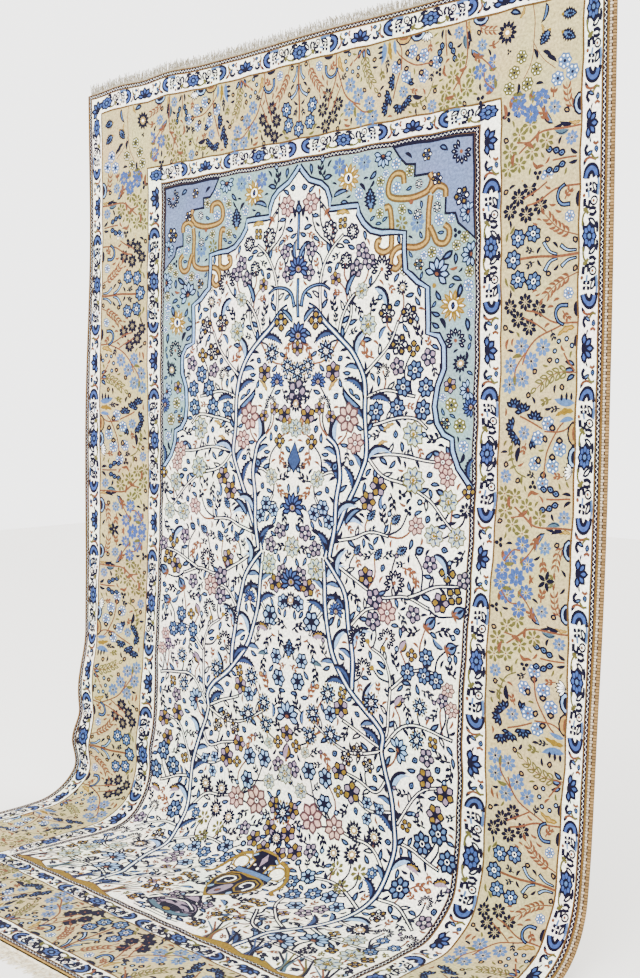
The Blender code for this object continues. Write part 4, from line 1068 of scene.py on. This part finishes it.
def wandered(places):
    """Charted places moved across to where the knotted lines really run."""
    levels = [row[0] for row in WANDER]
    real = [np.full(len(places), float(LINES[0]))]
    real += [np.interp(places.imag, levels, [row[k] for row in WANDER]) for k in range(1, len(LINES) - 1)]
    real += [np.full(len(places), float(LINES[-1]))]
    across = places.real.copy()
    for k, (low, high) in enumerate(zip(LINES, LINES[1:])):
        inside = (places.real >= low) & (places.real <= high)
        share = (places.real - low) / (high - low)
        across = np.where(inside, real[k] + (real[k + 1] - real[k]) * share, across)
    # Rows and columns of knots also waver by a millimetre, less towards the edges
    x, y = places.real, places.imag
    calm_x = np.clip((690.0 - np.abs(x)) / 40.0, 0.0, 1.0)
    calm_y = np.clip(np.minimum(y, LONG - y) / 40.0, 0.0, 1.0)
    across = across + 1.1 * calm_x * np.sin(y / 17.0 + 2.0 * np.sin(x / 53.0))
    return across + 1j * (y + 1.1 * calm_y * np.sin(x / 15.0 + 2.0 * np.sin(y / 47.0)))


def stations(start, end, *bands, tile=TILE):
    """Tile edges from start to end, half as far apart inside the bands given."""
    edges = {start, end}
    edges.update(k * tile for k in range(math.ceil(start / tile), math.ceil(end / tile)))
    for low, high in bands:
        edges.update(low + k * tile / 2 for k in range(round((high - low) * 2 / tile)))
    return np.array(sorted(e for e in edges if start <= e <= end))


def facing(across, down, height):
    """Unit normals of the cloth's pile side."""
    nudge = 0.0005
    sideways = on_cloth(across + nudge, down, height) - on_cloth(across - nudge, down, height)
    downwards = on_cloth(across, down + nudge, height) - on_cloth(across, down - nudge, height)
    normals = np.cross(downwards, sideways)
    return normals / np.linalg.norm(normals, axis=1, keepdims=True)


def lay_mosaic(name, shapes, box, height, material, strips=1, reverse=False, tile=TILE):
    """One piece of knotted pattern on the cloth, with its dyes, its flat coordinates and a flat UV map."""
    left, right, top, bottom = box
    rows = stations(top, bottom, BEND, tile=tile)
    points, faces, inks = mosaic(shapes, stations(left, right, tile=tile), rows)
    places, back = np.unique(np.round(points * 1000.0), return_inverse=True)
    places /= 1000.0
    faces = back.reshape(-1)[faces]
    sound = (faces[:, 0] != faces[:, 1]) & (faces[:, 1] != faces[:, 2]) & (faces[:, 2] != faces[:, 0])
    faces, inks = faces[sound], inks[sound]
    if not reverse:
        faces = faces[:, ::-1]
    real = wandered(places)
    across, down = real.real / 1000.0, real.imag / 1000.0
    thing = add_mesh(name, on_cloth(across, down, height), faces.tolist(), material)
    mesh = thing.data
    palette = np.array([[int(INKS[ink][k:k + 2], 16) / 255 for k in (1, 3, 5)] + [1.0] for ink in INK_NAMES])
    dye = mesh.color_attributes.new("dye", "BYTE_COLOR", "CORNER")
    dye.data.foreach_set("color_srgb", np.repeat(palette[inks], 3, axis=0).ravel())
    flat = mesh.attributes.new("flat", "FLOAT_VECTOR", "POINT")
    flat.data.foreach_set("vector", np.stack((across, down, np.zeros(len(across))), axis=1).ravel())
    corners = places[faces]
    strip = np.minimum((corners.imag.mean(axis=1) - top) / (bottom - top) * strips, strips - 1).astype(int)
    strip_width, strip_height = right - left, (bottom - top) / strips
    u = (corners.real - left + strip[:, None] * (strip_width + TILE)) / (strips * (strip_width + TILE))
    v = 0.94 - 0.88 * (corners.imag - top - strip[:, None] * strip_height) / strip_height
    mesh.uv_layers.new(name="OFBake").data.foreach_set("uv", np.stack((u, v), axis=-1).ravel())
    mesh.shade_smooth()
    normals = facing(across, down, height)
    mesh.normals_split_custom_set_from_vertices((-normals if reverse else normals).tolist())
    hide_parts("rug")
    return thing


def pile_wool():
    """Clipped hand-spun wool: matt, with a soft bloom at a glancing angle. Every knot takes the dye a
    little differently, and a new dye lot now and then makes a faint band across the rug."""
    material, tree, shader = new_material("clipped_wool_pile")
    dye = add_node(tree, "ShaderNodeAttribute", {"attribute_name": "dye"})
    flat = add_node(tree, "ShaderNodeAttribute", {"attribute_name": "flat"})
    # One knot is about 2 mm across
    knots = add_node(tree, "ShaderNodeVectorMath", {"operation": "SCALE"}, {0: flat.outputs["Vector"], "Scale": 500.0})
    cell = add_node(tree, "ShaderNodeVectorMath", {"operation": "FLOOR"}, {0: knots.outputs[0]})
    lot = add_node(tree, "ShaderNodeTexWhiteNoise", {"noise_dimensions": "2D"}, {"Vector": cell.outputs[0]})
    # Knots clump in tufts of about 5 mm
    tufts = add_node(tree, "ShaderNodeTexNoise", {}, {"Vector": flat.outputs["Vector"], "Scale": 200.0, "Detail": 3.0})
    squeezed = add_node(
        tree, "ShaderNodeVectorMath", {"operation": "MULTIPLY"}, {0: flat.outputs["Vector"], 1: (1.2, 22.0, 1.0)}
    )
    band = add_node(tree, "ShaderNodeTexNoise", {}, {"Vector": squeezed.outputs[0], "Scale": 1.0, "Detail": 2.0})
    shade = None
    for source, low, high in (
        (lot.outputs["Value"], 0.90, 1.08), (tufts.outputs[0], 0.26, 1.74), (band.outputs[0], 0.84, 1.16),
    ):
        ramp = add_node(tree, "ShaderNodeMapRange", {}, {"Value": source, "To Min": low, "To Max": high})
        if shade is None:
            shade = ramp
        else:
            shade = add_node(tree, "ShaderNodeMath", {"operation": "MULTIPLY"}, {0: shade.outputs[0], 1: ramp.outputs[0]})
    # The hue drifts a little over a hand's width
    drift = add_node(tree, "ShaderNodeTexNoise", {}, {"Vector": flat.outputs["Vector"], "Scale": 11.0, "Detail": 1.0})
    cast = add_node(
        tree, "ShaderNodeVectorMath", {"operation": "MULTIPLY_ADD"},
        {0: drift.outputs[1], 1: (0.24, 0.24, 0.24), 2: (0.88, 0.88, 0.88)},
    )
    coloured = add_node(
        tree, "ShaderNodeVectorMath", {"operation": "MULTIPLY"}, {0: dye.outputs["Color"], 1: cast.outputs[0]}
    )
    tinted = add_node(
        tree, "ShaderNodeVectorMath", {"operation": "SCALE"}, {0: coloured.outputs[0], "Scale": shade.outputs[0]}
    )
    tree.links.new(tinted.outputs[0], shader.inputs["Base Color"])
    for name, value in (("Roughness", 0.95), ("Specular IOR Level", 0.08), ("Sheen Weight", 0.02), ("Sheen Roughness", 0.6)):
        shader.inputs[name].default_value = value
    fuzz = add_node(tree, "ShaderNodeTexNoise", {}, {"Vector": flat.outputs["Vector"], "Scale": 450.0, "Detail": 2.0})
    bump = add_node(
        tree, "ShaderNodeBump", {}, {"Height": fuzz.outputs[0], "Strength": 0.5, "Distance": 0.0015}
    )
    tree.links.new(bump.outputs[0], shader.inputs["Normal"])
    return material


WOOL = pile_wool()
PILE_HEIGHT = CLOTH_THICKNESS
SIDE = 441.0
PIECES = (
    ("field_upper", (-SIDE, SIDE, 229.0, 1110.0), 1), ("field_lower", (-SIDE, SIDE, 1110.0, LONG - 229.0), 1),
    ("border_top", (-SIDE, SIDE, 0.0, 229.0), 2), ("border_bottom", (-SIDE, SIDE, LONG - 229.0, LONG), 2),
    ("border_left_upper", (-690.0, -SIDE, 0.0, 1110.0), 2), ("border_left_lower", (-690.0, -SIDE, 1110.0, LONG), 2),
    ("border_right_upper", (SIDE, 690.0, 0.0, 1110.0), 2), ("border_right_lower", (SIDE, 690.0, 1110.0, LONG), 2),
)
pile = [lay_mosaic(name, layout, box, PILE_HEIGHT, WOOL, strips) for name, box, strips in PIECES]


def knotted_back():
    """The rug's back: the same knots seen from behind as small bars between rows of cotton weft, which
    dulls every dye and rules fine lines across the rug 4 mm apart."""
    material, tree, shader = new_material("knotted_back")
    dye = add_node(tree, "ShaderNodeAttribute", {"attribute_name": "dye"})
    flat = add_node(tree, "ShaderNodeAttribute", {"attribute_name": "flat"})
    split = add_node(tree, "ShaderNodeSeparateXYZ", {}, {0: flat.outputs["Vector"]})
    row = add_node(tree, "ShaderNodeMath", {"operation": "MULTIPLY"}, {0: split.outputs[1], 1: 250.0})
    ridge = add_node(tree, "ShaderNodeMath", {"operation": "PINGPONG"}, {0: row.outputs[0], 1: 0.5})
    weft = add_node(tree, "ShaderNodeMapRange", {}, {
        "Value": ridge.outputs[0], "From Min": 0.0, "From Max": 0.25, "To Min": 0.12, "To Max": 0.0,
    })
    patch = add_node(tree, "ShaderNodeTexNoise", {}, {"Vector": flat.outputs["Vector"], "Scale": 160.0, "Detail": 2.0})
    cotton = add_node(tree, "ShaderNodeValToRGB", {}, {0: patch.outputs[0]})
    cotton.color_ramp.elements[0].color = linear("#857656")
    cotton.color_ramp.elements[1].color = linear("#C6B998")
    mix = add_node(tree, "ShaderNodeMix", {"data_type": "RGBA"}, {
        0: weft.outputs[0], 6: dye.outputs["Color"], 7: cotton.outputs[0],
    })
    tree.links.new(mix.outputs[2], shader.inputs["Base Color"])
    bump = add_node(tree, "ShaderNodeBump", {}, {"Height": ridge.outputs[0], "Strength": 0.6, "Distance": 0.001})
    tree.links.new(bump.outputs[0], shader.inputs["Normal"])
    for name, value in (("Roughness", 0.95), ("Specular IOR Level", 0.08)):
        shader.inputs[name].default_value = value
    return material


# From behind only the larger shapes read. The sheet of knots covers the foundation's whole back
BACK = knotted_back()
larger = [(ink, outline) for ink, outline in layout if abs(area(outline)) > 92.0]
for name, box in (("back_upper", (-690.0, 690.0, 0.0, 1110.0)), ("back_lower", (-690.0, 690.0, 1110.0, LONG))):
    pile.append(lay_mosaic(name, larger, box, 0.0, BACK, 2, True, 60.0))


# The cut edge of the pile, seen where it stands above the side cords and the end strips
def build_pile_edge():
    across, down = stations(-690.0, 690.0), stations(0.0, LONG, BEND)
    rim = [x + 0j for x in across[:-1]] + [690.0 + 1j * y for y in down[:-1]]
    rim += [x + 1j * LONG for x in across[:0:-1]] + [-690.0 + 1j * y for y in down[:0:-1]]
    rim = np.array(rim) / 1000.0
    points = np.concatenate([on_cloth(rim.real, rim.imag, h) for h in (PILE_HEIGHT, 0.0)])
    count = len(rim)
    faces = [(k, (k + 1) % count, count + (k + 1) % count, count + k) for k in range(count)]
    thing = add_mesh("pile_edge", points, faces, WOOL)
    dye = thing.data.color_attributes.new("dye", "BYTE_COLOR", "CORNER")
    dye.data.foreach_set("color", linear(INKS["tan"]) * len(thing.data.loops))
    flat = thing.data.attributes.new("flat", "FLOAT_VECTOR", "POINT")
    flat.data.foreach_set("vector", points.ravel())
    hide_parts("rug")
    return thing


pile.append(build_pile_edge())


# Side cords: bundled warps wound round with tan wool, one rib at the left and two at the right, sewn
# to the rug's edge with brown thread that shows as a row of small dots
RIB_WIDTH = 0.006
CORD_THICKNESS = 0.008
CLEARANCE = 0.0003
WRAP = 0.005


def overcast_wool():
    """Wool yarn in close turns 5 mm apart, with painted shade darkening the grooves between the turns: cream on the rib
    next to the pile, golden tan on the outer one, and brown stitches in the groove between them."""
    material, tree, shader = new_material("overcast_wool_yarn")
    along = add_node(tree, "ShaderNodeUVMap", {"uv_map": "turns"})
    split = add_node(tree, "ShaderNodeSeparateXYZ", {}, {0: along.outputs[0]})
    turn = add_node(tree, "ShaderNodeMath", {"operation": "FLOOR"}, {0: split.outputs[0]})
    inner = add_node(tree, "ShaderNodeMath", {"operation": "LESS_THAN"}, {0: split.outputs[1], 1: 1.0})
    shade = add_node(tree, "ShaderNodeTexWhiteNoise", {"noise_dimensions": "1D"}, {"W": turn.outputs[0]})
    ribs = []
    for dark, light in (("#6E5636", "#8E7046"), ("#9C8B74", "#C2B199")):
        ramp = add_node(tree, "ShaderNodeValToRGB", {}, {0: shade.outputs["Value"]})
        ramp.color_ramp.elements[0].color = linear(dark)
        ramp.color_ramp.elements[1].color = linear(light)
        ribs.append(ramp.outputs[0])
    yarn = add_node(tree, "ShaderNodeMix", {"data_type": "RGBA"}, {0: inner.outputs[0], 6: ribs[0], 7: ribs[1]})
    # Painted shade: each turn of yarn darkens towards its edges, down to about a fifth, as shade in the grooves between
    # turns
    own = add_node(tree, "ShaderNodeMath", {"operation": "PINGPONG"}, {0: split.outputs[0], 1: 0.5})
    painted_groove_shade = add_node(tree, "ShaderNodeMapRange", {}, {
        "Value": own.outputs[0], "From Min": 0.05, "From Max": 0.32, "To Min": 0.22, "To Max": 1.0,
    })
    wound = add_node(tree, "ShaderNodeVectorMath", {"operation": "SCALE"}, {0: yarn.outputs[2], "Scale": painted_groove_shade.outputs[0]})
    groove = add_node(tree, "ShaderNodeMath", {"operation": "COMPARE"}, {0: split.outputs[1], 1: 1.0, 2: 0.2})
    half = add_node(tree, "ShaderNodeMath", {"operation": "MULTIPLY"}, {0: split.outputs[0], 1: 0.5})
    phase = add_node(tree, "ShaderNodeMath", {"operation": "FRACT"}, {0: half.outputs[0]})
    gap = add_node(tree, "ShaderNodeMath", {"operation": "LESS_THAN"}, {0: phase.outputs[0], 1: 0.55})
    stitch = add_node(tree, "ShaderNodeMath", {"operation": "MULTIPLY"}, {0: groove.outputs[0], 1: gap.outputs[0]})
    sewn = add_node(tree, "ShaderNodeMix", {"data_type": "RGBA"}, {
        0: stitch.outputs[0], 6: wound.outputs[0], 7: linear("#2A1A10"),
    })
    tree.links.new(sewn.outputs[2], shader.inputs["Base Color"])
    for name, value in (("Roughness", 0.9), ("Specular IOR Level", 0.1)):
        shader.inputs[name].default_value = value
    return material


OVERCAST = overcast_wool()


def build_cord(name, side, ribs):
    """Closed cord of one or more round ribs, swept down an edge of the rug. Every turn of yarn stands up
    as a ridge."""
    down = np.append(np.arange(0.0, PILE_LENGTH - WRAP / 4, WRAP / 2), PILE_LENGTH)
    swell = np.where(np.arange(len(down)) % 2, 1.0, 0.84)
    steps = np.linspace(0.0, ribs, ribs * 4 + 1)
    crown = np.sqrt(1.0 - 0.8 * (2.0 * (steps % 1.0) - 1.0) ** 2)
    outline = [(s, c) for s, c in zip(steps, crown)] + [(s, -c) for s, c in zip(steps[::-1], crown[::-1])]
    count = len(outline)
    rings = []
    for out, rise in outline:
        height = CLOTH_THICKNESS / 2 + CORD_THICKNESS / 2 * rise * swell
        ring = on_cloth(np.full(len(down), side * PILE_WIDTH / 2), down, height)
        ring[:, 0] += side * (CLEARANCE + out * RIB_WIDTH)
        rings.append(ring)
    points = np.stack(rings, axis=1).reshape(-1, 3)
    faces = []
    for j in range(len(down) - 1):
        for i in range(count):
            k = (i + 1) % count
            faces.append((j * count + i, (j + 1) * count + i, (j + 1) * count + k, j * count + k))
    faces.append(tuple(range(count)))
    last = (len(down) - 1) * count
    faces.append(tuple(range(last + count - 1, last - 1, -1)))
    thing = add_mesh(name, points, faces, OVERCAST)
    build = bmesh.new()
    build.from_mesh(thing.data)
    bmesh.ops.recalc_face_normals(build, faces=build.faces[:])
    build.to_mesh(thing.data)
    build.free()
    turns = thing.data.uv_layers.new(name="turns")
    level = np.repeat(down / WRAP, count)
    # The groove with the stitches is at 1: between two ribs, or where a single rib meets the pile
    rib = np.tile([out + (2 - ribs) for out, _ in outline], len(down))
    corner_of = np.zeros(len(thing.data.loops), int)
    thing.data.loops.foreach_get("vertex_index", corner_of)
    turns.data.foreach_set("uv", np.stack((level[corner_of], rib[corner_of]), axis=1).ravel())
    thing.data.shade_smooth()
    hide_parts("selvedge_right" if side > 0 else "selvedge_left")
    return thing


cords = [build_cord("side_cord_left", -1, 1), build_cord("side_cord_right", 1, 2)]


# Fringe: the cotton warps stand out of a narrow flat-woven strip at each end, cut short at the top and
# left a little longer at the bottom, where they lie on the floor
STRIP_DEPTH = 0.006
STRIP_THICKNESS = 0.003
WARP_PITCH = 0.003
TOP_FRINGE = 0.024
BOTTOM_FRINGE = 0.038


def cotton_warp():
    """Undyed plied cotton, cream, darker the higher it stands, the upper end above all."""
    material, tree, shader = new_material("cotton_warp")
    place = add_node(tree, "ShaderNodeTexCoord")
    noise = add_node(tree, "ShaderNodeTexNoise", {}, {"Vector": place.outputs["Object"], "Scale": 140.0, "Detail": 3.0})
    ramp = add_node(tree, "ShaderNodeValToRGB", {}, {0: noise.outputs[0]})
    ramp.color_ramp.elements[0].position = 0.3
    ramp.color_ramp.elements[0].color = linear("#BBA882")
    ramp.color_ramp.elements[1].position = 0.6
    ramp.color_ramp.elements[1].color = linear("#E8DFC8")
    split = add_node(tree, "ShaderNodeSeparateXYZ", {}, {0: place.outputs["Object"]})
    # Darker the higher it stands: full brightness up to 0.1 m, about a third from 1.6 m up, which takes in the upper
    # fringe
    height_darkening = add_node(tree, "ShaderNodeMapRange", {}, {
        "Value": split.outputs[2], "From Min": 0.1, "From Max": 1.6, "To Min": 1.0, "To Max": 0.36,
    })
    darkened_with_height = add_node(tree, "ShaderNodeVectorMath", {"operation": "SCALE"}, {0: ramp.outputs[0], "Scale": height_darkening.outputs[0]})
    tree.links.new(darkened_with_height.outputs[0], shader.inputs["Base Color"])
    for name, value in (("Roughness", 0.9), ("Specular IOR Level", 0.2), ("Sheen Weight", 0.2)):
        shader.inputs[name].default_value = value
    return material


COTTON = cotton_warp()


def strand_tree():
    """Copies of one curved strand on every root point, each leaning, turned and cut its own way."""
    tree = bpy.data.node_groups.new("warp_strands", "GeometryNodeTree")
    sockets = tree.interface
    sockets.new_socket("Geometry", in_out="INPUT", socket_type="NodeSocketGeometry")
    for name, kind in (
        ("Length", "NodeSocketFloat"), ("Thickness", "NodeSocketFloat"), ("Sway", "NodeSocketFloat"),
        ("Aim", "NodeSocketVector"), ("Least lean", "NodeSocketVector"), ("Most lean", "NodeSocketVector"),
        ("Seed", "NodeSocketInt"), ("Material", "NodeSocketMaterial"),
    ):
        sockets.new_socket(name, in_out="INPUT", socket_type=kind)
    sockets.new_socket("Geometry", in_out="OUTPUT", socket_type="NodeSocketGeometry")
    given = add_node(tree, "NodeGroupInput").outputs
    joints = []
    for along, aside in ((0.0, 0.0), (0.33, 1.0), (0.66, -1.0), (1.0, 0.4)):
        reach = add_node(tree, "ShaderNodeMath", {"operation": "MULTIPLY"}, {0: given["Length"], 1: along})
        swing = add_node(tree, "ShaderNodeMath", {"operation": "MULTIPLY"}, {0: given["Sway"], 1: aside})
        joints.append(add_node(tree, "ShaderNodeCombineXYZ", {}, {"X": swing.outputs[0], "Z": reach.outputs[0]}).outputs[0])
    path = add_node(tree, "GeometryNodeCurvePrimitiveBezierSegment", {}, {
        "Resolution": 5, "Start": joints[0], "Start Handle": joints[1], "End Handle": joints[2], "End": joints[3],
    })
    section = add_node(tree, "GeometryNodeCurvePrimitiveCircle", {}, {"Resolution": 4, "Radius": given["Thickness"]})
    strand = add_node(tree, "GeometryNodeCurveToMesh", {}, {
        "Curve": path.outputs[0], "Profile Curve": section.outputs[0], "Fill Caps": True,
    })
    lean = add_node(tree, "FunctionNodeRandomValue", {"data_type": "FLOAT_VECTOR"}, {
        "Min": given["Least lean"], "Max": given["Most lean"], "Seed": given["Seed"],
    })
    flip = add_node(tree, "FunctionNodeRandomValue", {"data_type": "INT"}, {4: 0, 5: 1, "Seed": given["Seed"]})
    half_turn = add_node(tree, "ShaderNodeMath", {"operation": "MULTIPLY"}, {0: flip.outputs[2], 1: math.pi})
    own_turn = add_node(tree, "ShaderNodeCombineXYZ", {}, {"Z": half_turn.outputs[0]})
    first = add_node(tree, "FunctionNodeRotateEuler", {"space": "LOCAL"}, {0: given["Aim"], "Rotate By": lean.outputs[0]})
    second = add_node(tree, "FunctionNodeRotateEuler", {"space": "LOCAL"}, {0: first.outputs[0], "Rotate By": own_turn.outputs[0]})
    cut = add_node(tree, "FunctionNodeRandomValue", {"data_type": "FLOAT"}, {2: 0.55, 3: 1.0, "Seed": given["Seed"]})
    size = add_node(tree, "ShaderNodeCombineXYZ", {}, {"X": 1.0, "Y": 1.0, "Z": cut.outputs[1]})
    copies = add_node(tree, "GeometryNodeInstanceOnPoints", {}, {
        "Points": given["Geometry"], "Instance": strand.outputs[0], "Rotation": second.outputs[0], "Scale": size.outputs[0],
    })
    real = add_node(tree, "GeometryNodeRealizeInstances", {}, {0: copies.outputs[0]})
    dressed = add_node(tree, "GeometryNodeSetMaterial", {}, {"Geometry": real.outputs[0], "Material": given["Material"]})
    add_node(tree, "NodeGroupOutput", {}, {0: dressed.outputs[0]})
    return tree


STRANDS = strand_tree()


def grown(roots, values):
    """The mesh that the strand tree makes on some root points."""
    mesh = bpy.data.meshes.new("roots")
    mesh.from_pydata(roots.tolist(), [], [])
    seedling = bpy.data.objects.new("roots", mesh)
    bpy.context.scene.collection.objects.link(seedling)
    modifier = seedling.modifiers.new("strands", "NODES")
    modifier.node_group = STRANDS
    for socket in STRANDS.interface.items_tree:
        if socket.item_type == "SOCKET" and socket.in_out == "INPUT" and socket.name in values:
            modifier[socket.identifier] = values[socket.name]
    result = bpy.data.meshes.new_from_object(seedling.evaluated_get(bpy.context.evaluated_depsgraph_get()))
    bpy.data.objects.remove(seedling, do_unlink=True)
    return result


def build_fringe(name, down, length, aim, leans, floor):
    """The flat-woven strip at one end and its warps. floor tells that the warps lie on the floor."""
    across = np.linspace(-PILE_WIDTH / 2, PILE_WIDTH / 2, 93)
    outwards = np.array((0.0, -1.0, 0.0) if floor else (0.0, 0.0, 1.0))
    rings = []
    for out, height in ((0.0, 0.0), (0.0, STRIP_THICKNESS), (STRIP_DEPTH, STRIP_THICKNESS * 0.8), (STRIP_DEPTH, 0.0)):
        rings.append(on_cloth(across, np.full(len(across), down), height) + outwards * (CLEARANCE + out))
    points = np.stack(rings, axis=1).reshape(-1, 3)
    faces = [
        (4 * j + i, 4 * j + 4 + i, 4 * j + 4 + (i + 1) % 4, 4 * j + (i + 1) % 4)
        for j in range(len(across) - 1) for i in range(4)
    ]
    faces += [(0, 1, 2, 3), tuple(4 * len(across) - 4 + k for k in (3, 2, 1, 0))]
    thing = add_mesh(name, points, faces, COTTON)
    build = bmesh.new()
    build.from_mesh(thing.data)
    rng = random.Random(name)
    for layer in range(3):
        spots = np.arange(-PILE_WIDTH / 2 + WARP_PITCH * (0.4 + layer / 3), PILE_WIDTH / 2 - 0.001, WARP_PITCH)
        height = 0.0011 if floor else STRIP_THICKNESS * (0.3 + 0.2 * layer)
        roots = on_cloth(spots, np.full(len(spots), down), height) + outwards * (CLEARANCE + STRIP_DEPTH * 0.6)
        roots[:, 0] += [rng.uniform(-0.0008, 0.0008) for _ in spots]
        if floor:
            roots[:, 2] = 0.0008 + 0.0006 * layer
        strands = grown(roots, {
            "Length": (length - 0.4 * CLEARANCE) * (1.0 - 0.16 * layer), "Thickness": 0.0007, "Sway": 0.0024 + 0.001 * layer,
            "Aim": aim, "Least lean": leans[0], "Most lean": leans[1], "Seed": 3 + layer, "Material": COTTON,
        })
        build.from_mesh(strands)
    bmesh.ops.recalc_face_normals(build, faces=build.faces[:])
    build.to_mesh(thing.data)
    build.free()
    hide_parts(name.replace("warps", "fringe"))
    return thing


fringes = [
    build_fringe("warps_top", 0.0, TOP_FRINGE, (0.0, 0.0, 0.0), ((0.0, -0.28, 0.0), (0.12, 0.28, 0.0)), False),
    build_fringe("warps_bottom", PILE_LENGTH, BOTTOM_FRINGE, (math.pi / 2, 0.0, 0.0), ((0.0, -0.22, 0.0), (0.0, 0.22, 0.0)), True),
]


# The floor under the rug and the soft light of a bright room. No wall stands behind the rug.
def build_stage():
    floor = bpy.data.meshes.new("floor")
    floor.from_pydata([(-6, -6, 0), (6, -6, 0), (6, 6, 0), (-6, 6, 0)], [], [(0, 1, 2, 3)])
    material, tree, shader = new_material("pale_floor")
    shader.inputs["Base Color"].default_value = linear("#ECEAE6")
    shader.inputs["Roughness"].default_value = 0.7
    floor.materials.append(material)
    thing = bpy.data.objects.new("floor", floor)
    thing.location.z = -0.0005
    bpy.context.scene.collection.objects.link(thing)
    thing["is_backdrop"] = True
    world = bpy.data.worlds.new("bright_room")
    bpy.context.scene.world = world
    world.use_nodes = True
    world.node_tree.nodes["Background"].inputs["Color"].default_value = linear("#FBFAF8")
    world.node_tree.nodes["Background"].inputs["Strength"].default_value = 4.0
    for name, place, size, power in (("window", (1.2, -3.2, 2.6), 2.4, 160.0), ("fill", (-2.4, -2.2, 2.2), 2.0, 60.0)):
        lamp = bpy.data.lights.new(name, "AREA")
        lamp.size = size
        lamp.energy = power
        light = bpy.data.objects.new(name, lamp)
        light.location = place
        light.rotation_euler = (Vector((0.0, 0.0, 0.8)) - Vector(place)).to_track_quat("-Z", "Y").to_euler()
        bpy.context.scene.collection.objects.link(light)


build_stage()

boxes = {"cad": cad_box, "visual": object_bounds()}
{name: [[float(c) for c in corner] for corner in box] for name, box in boxes.items()}
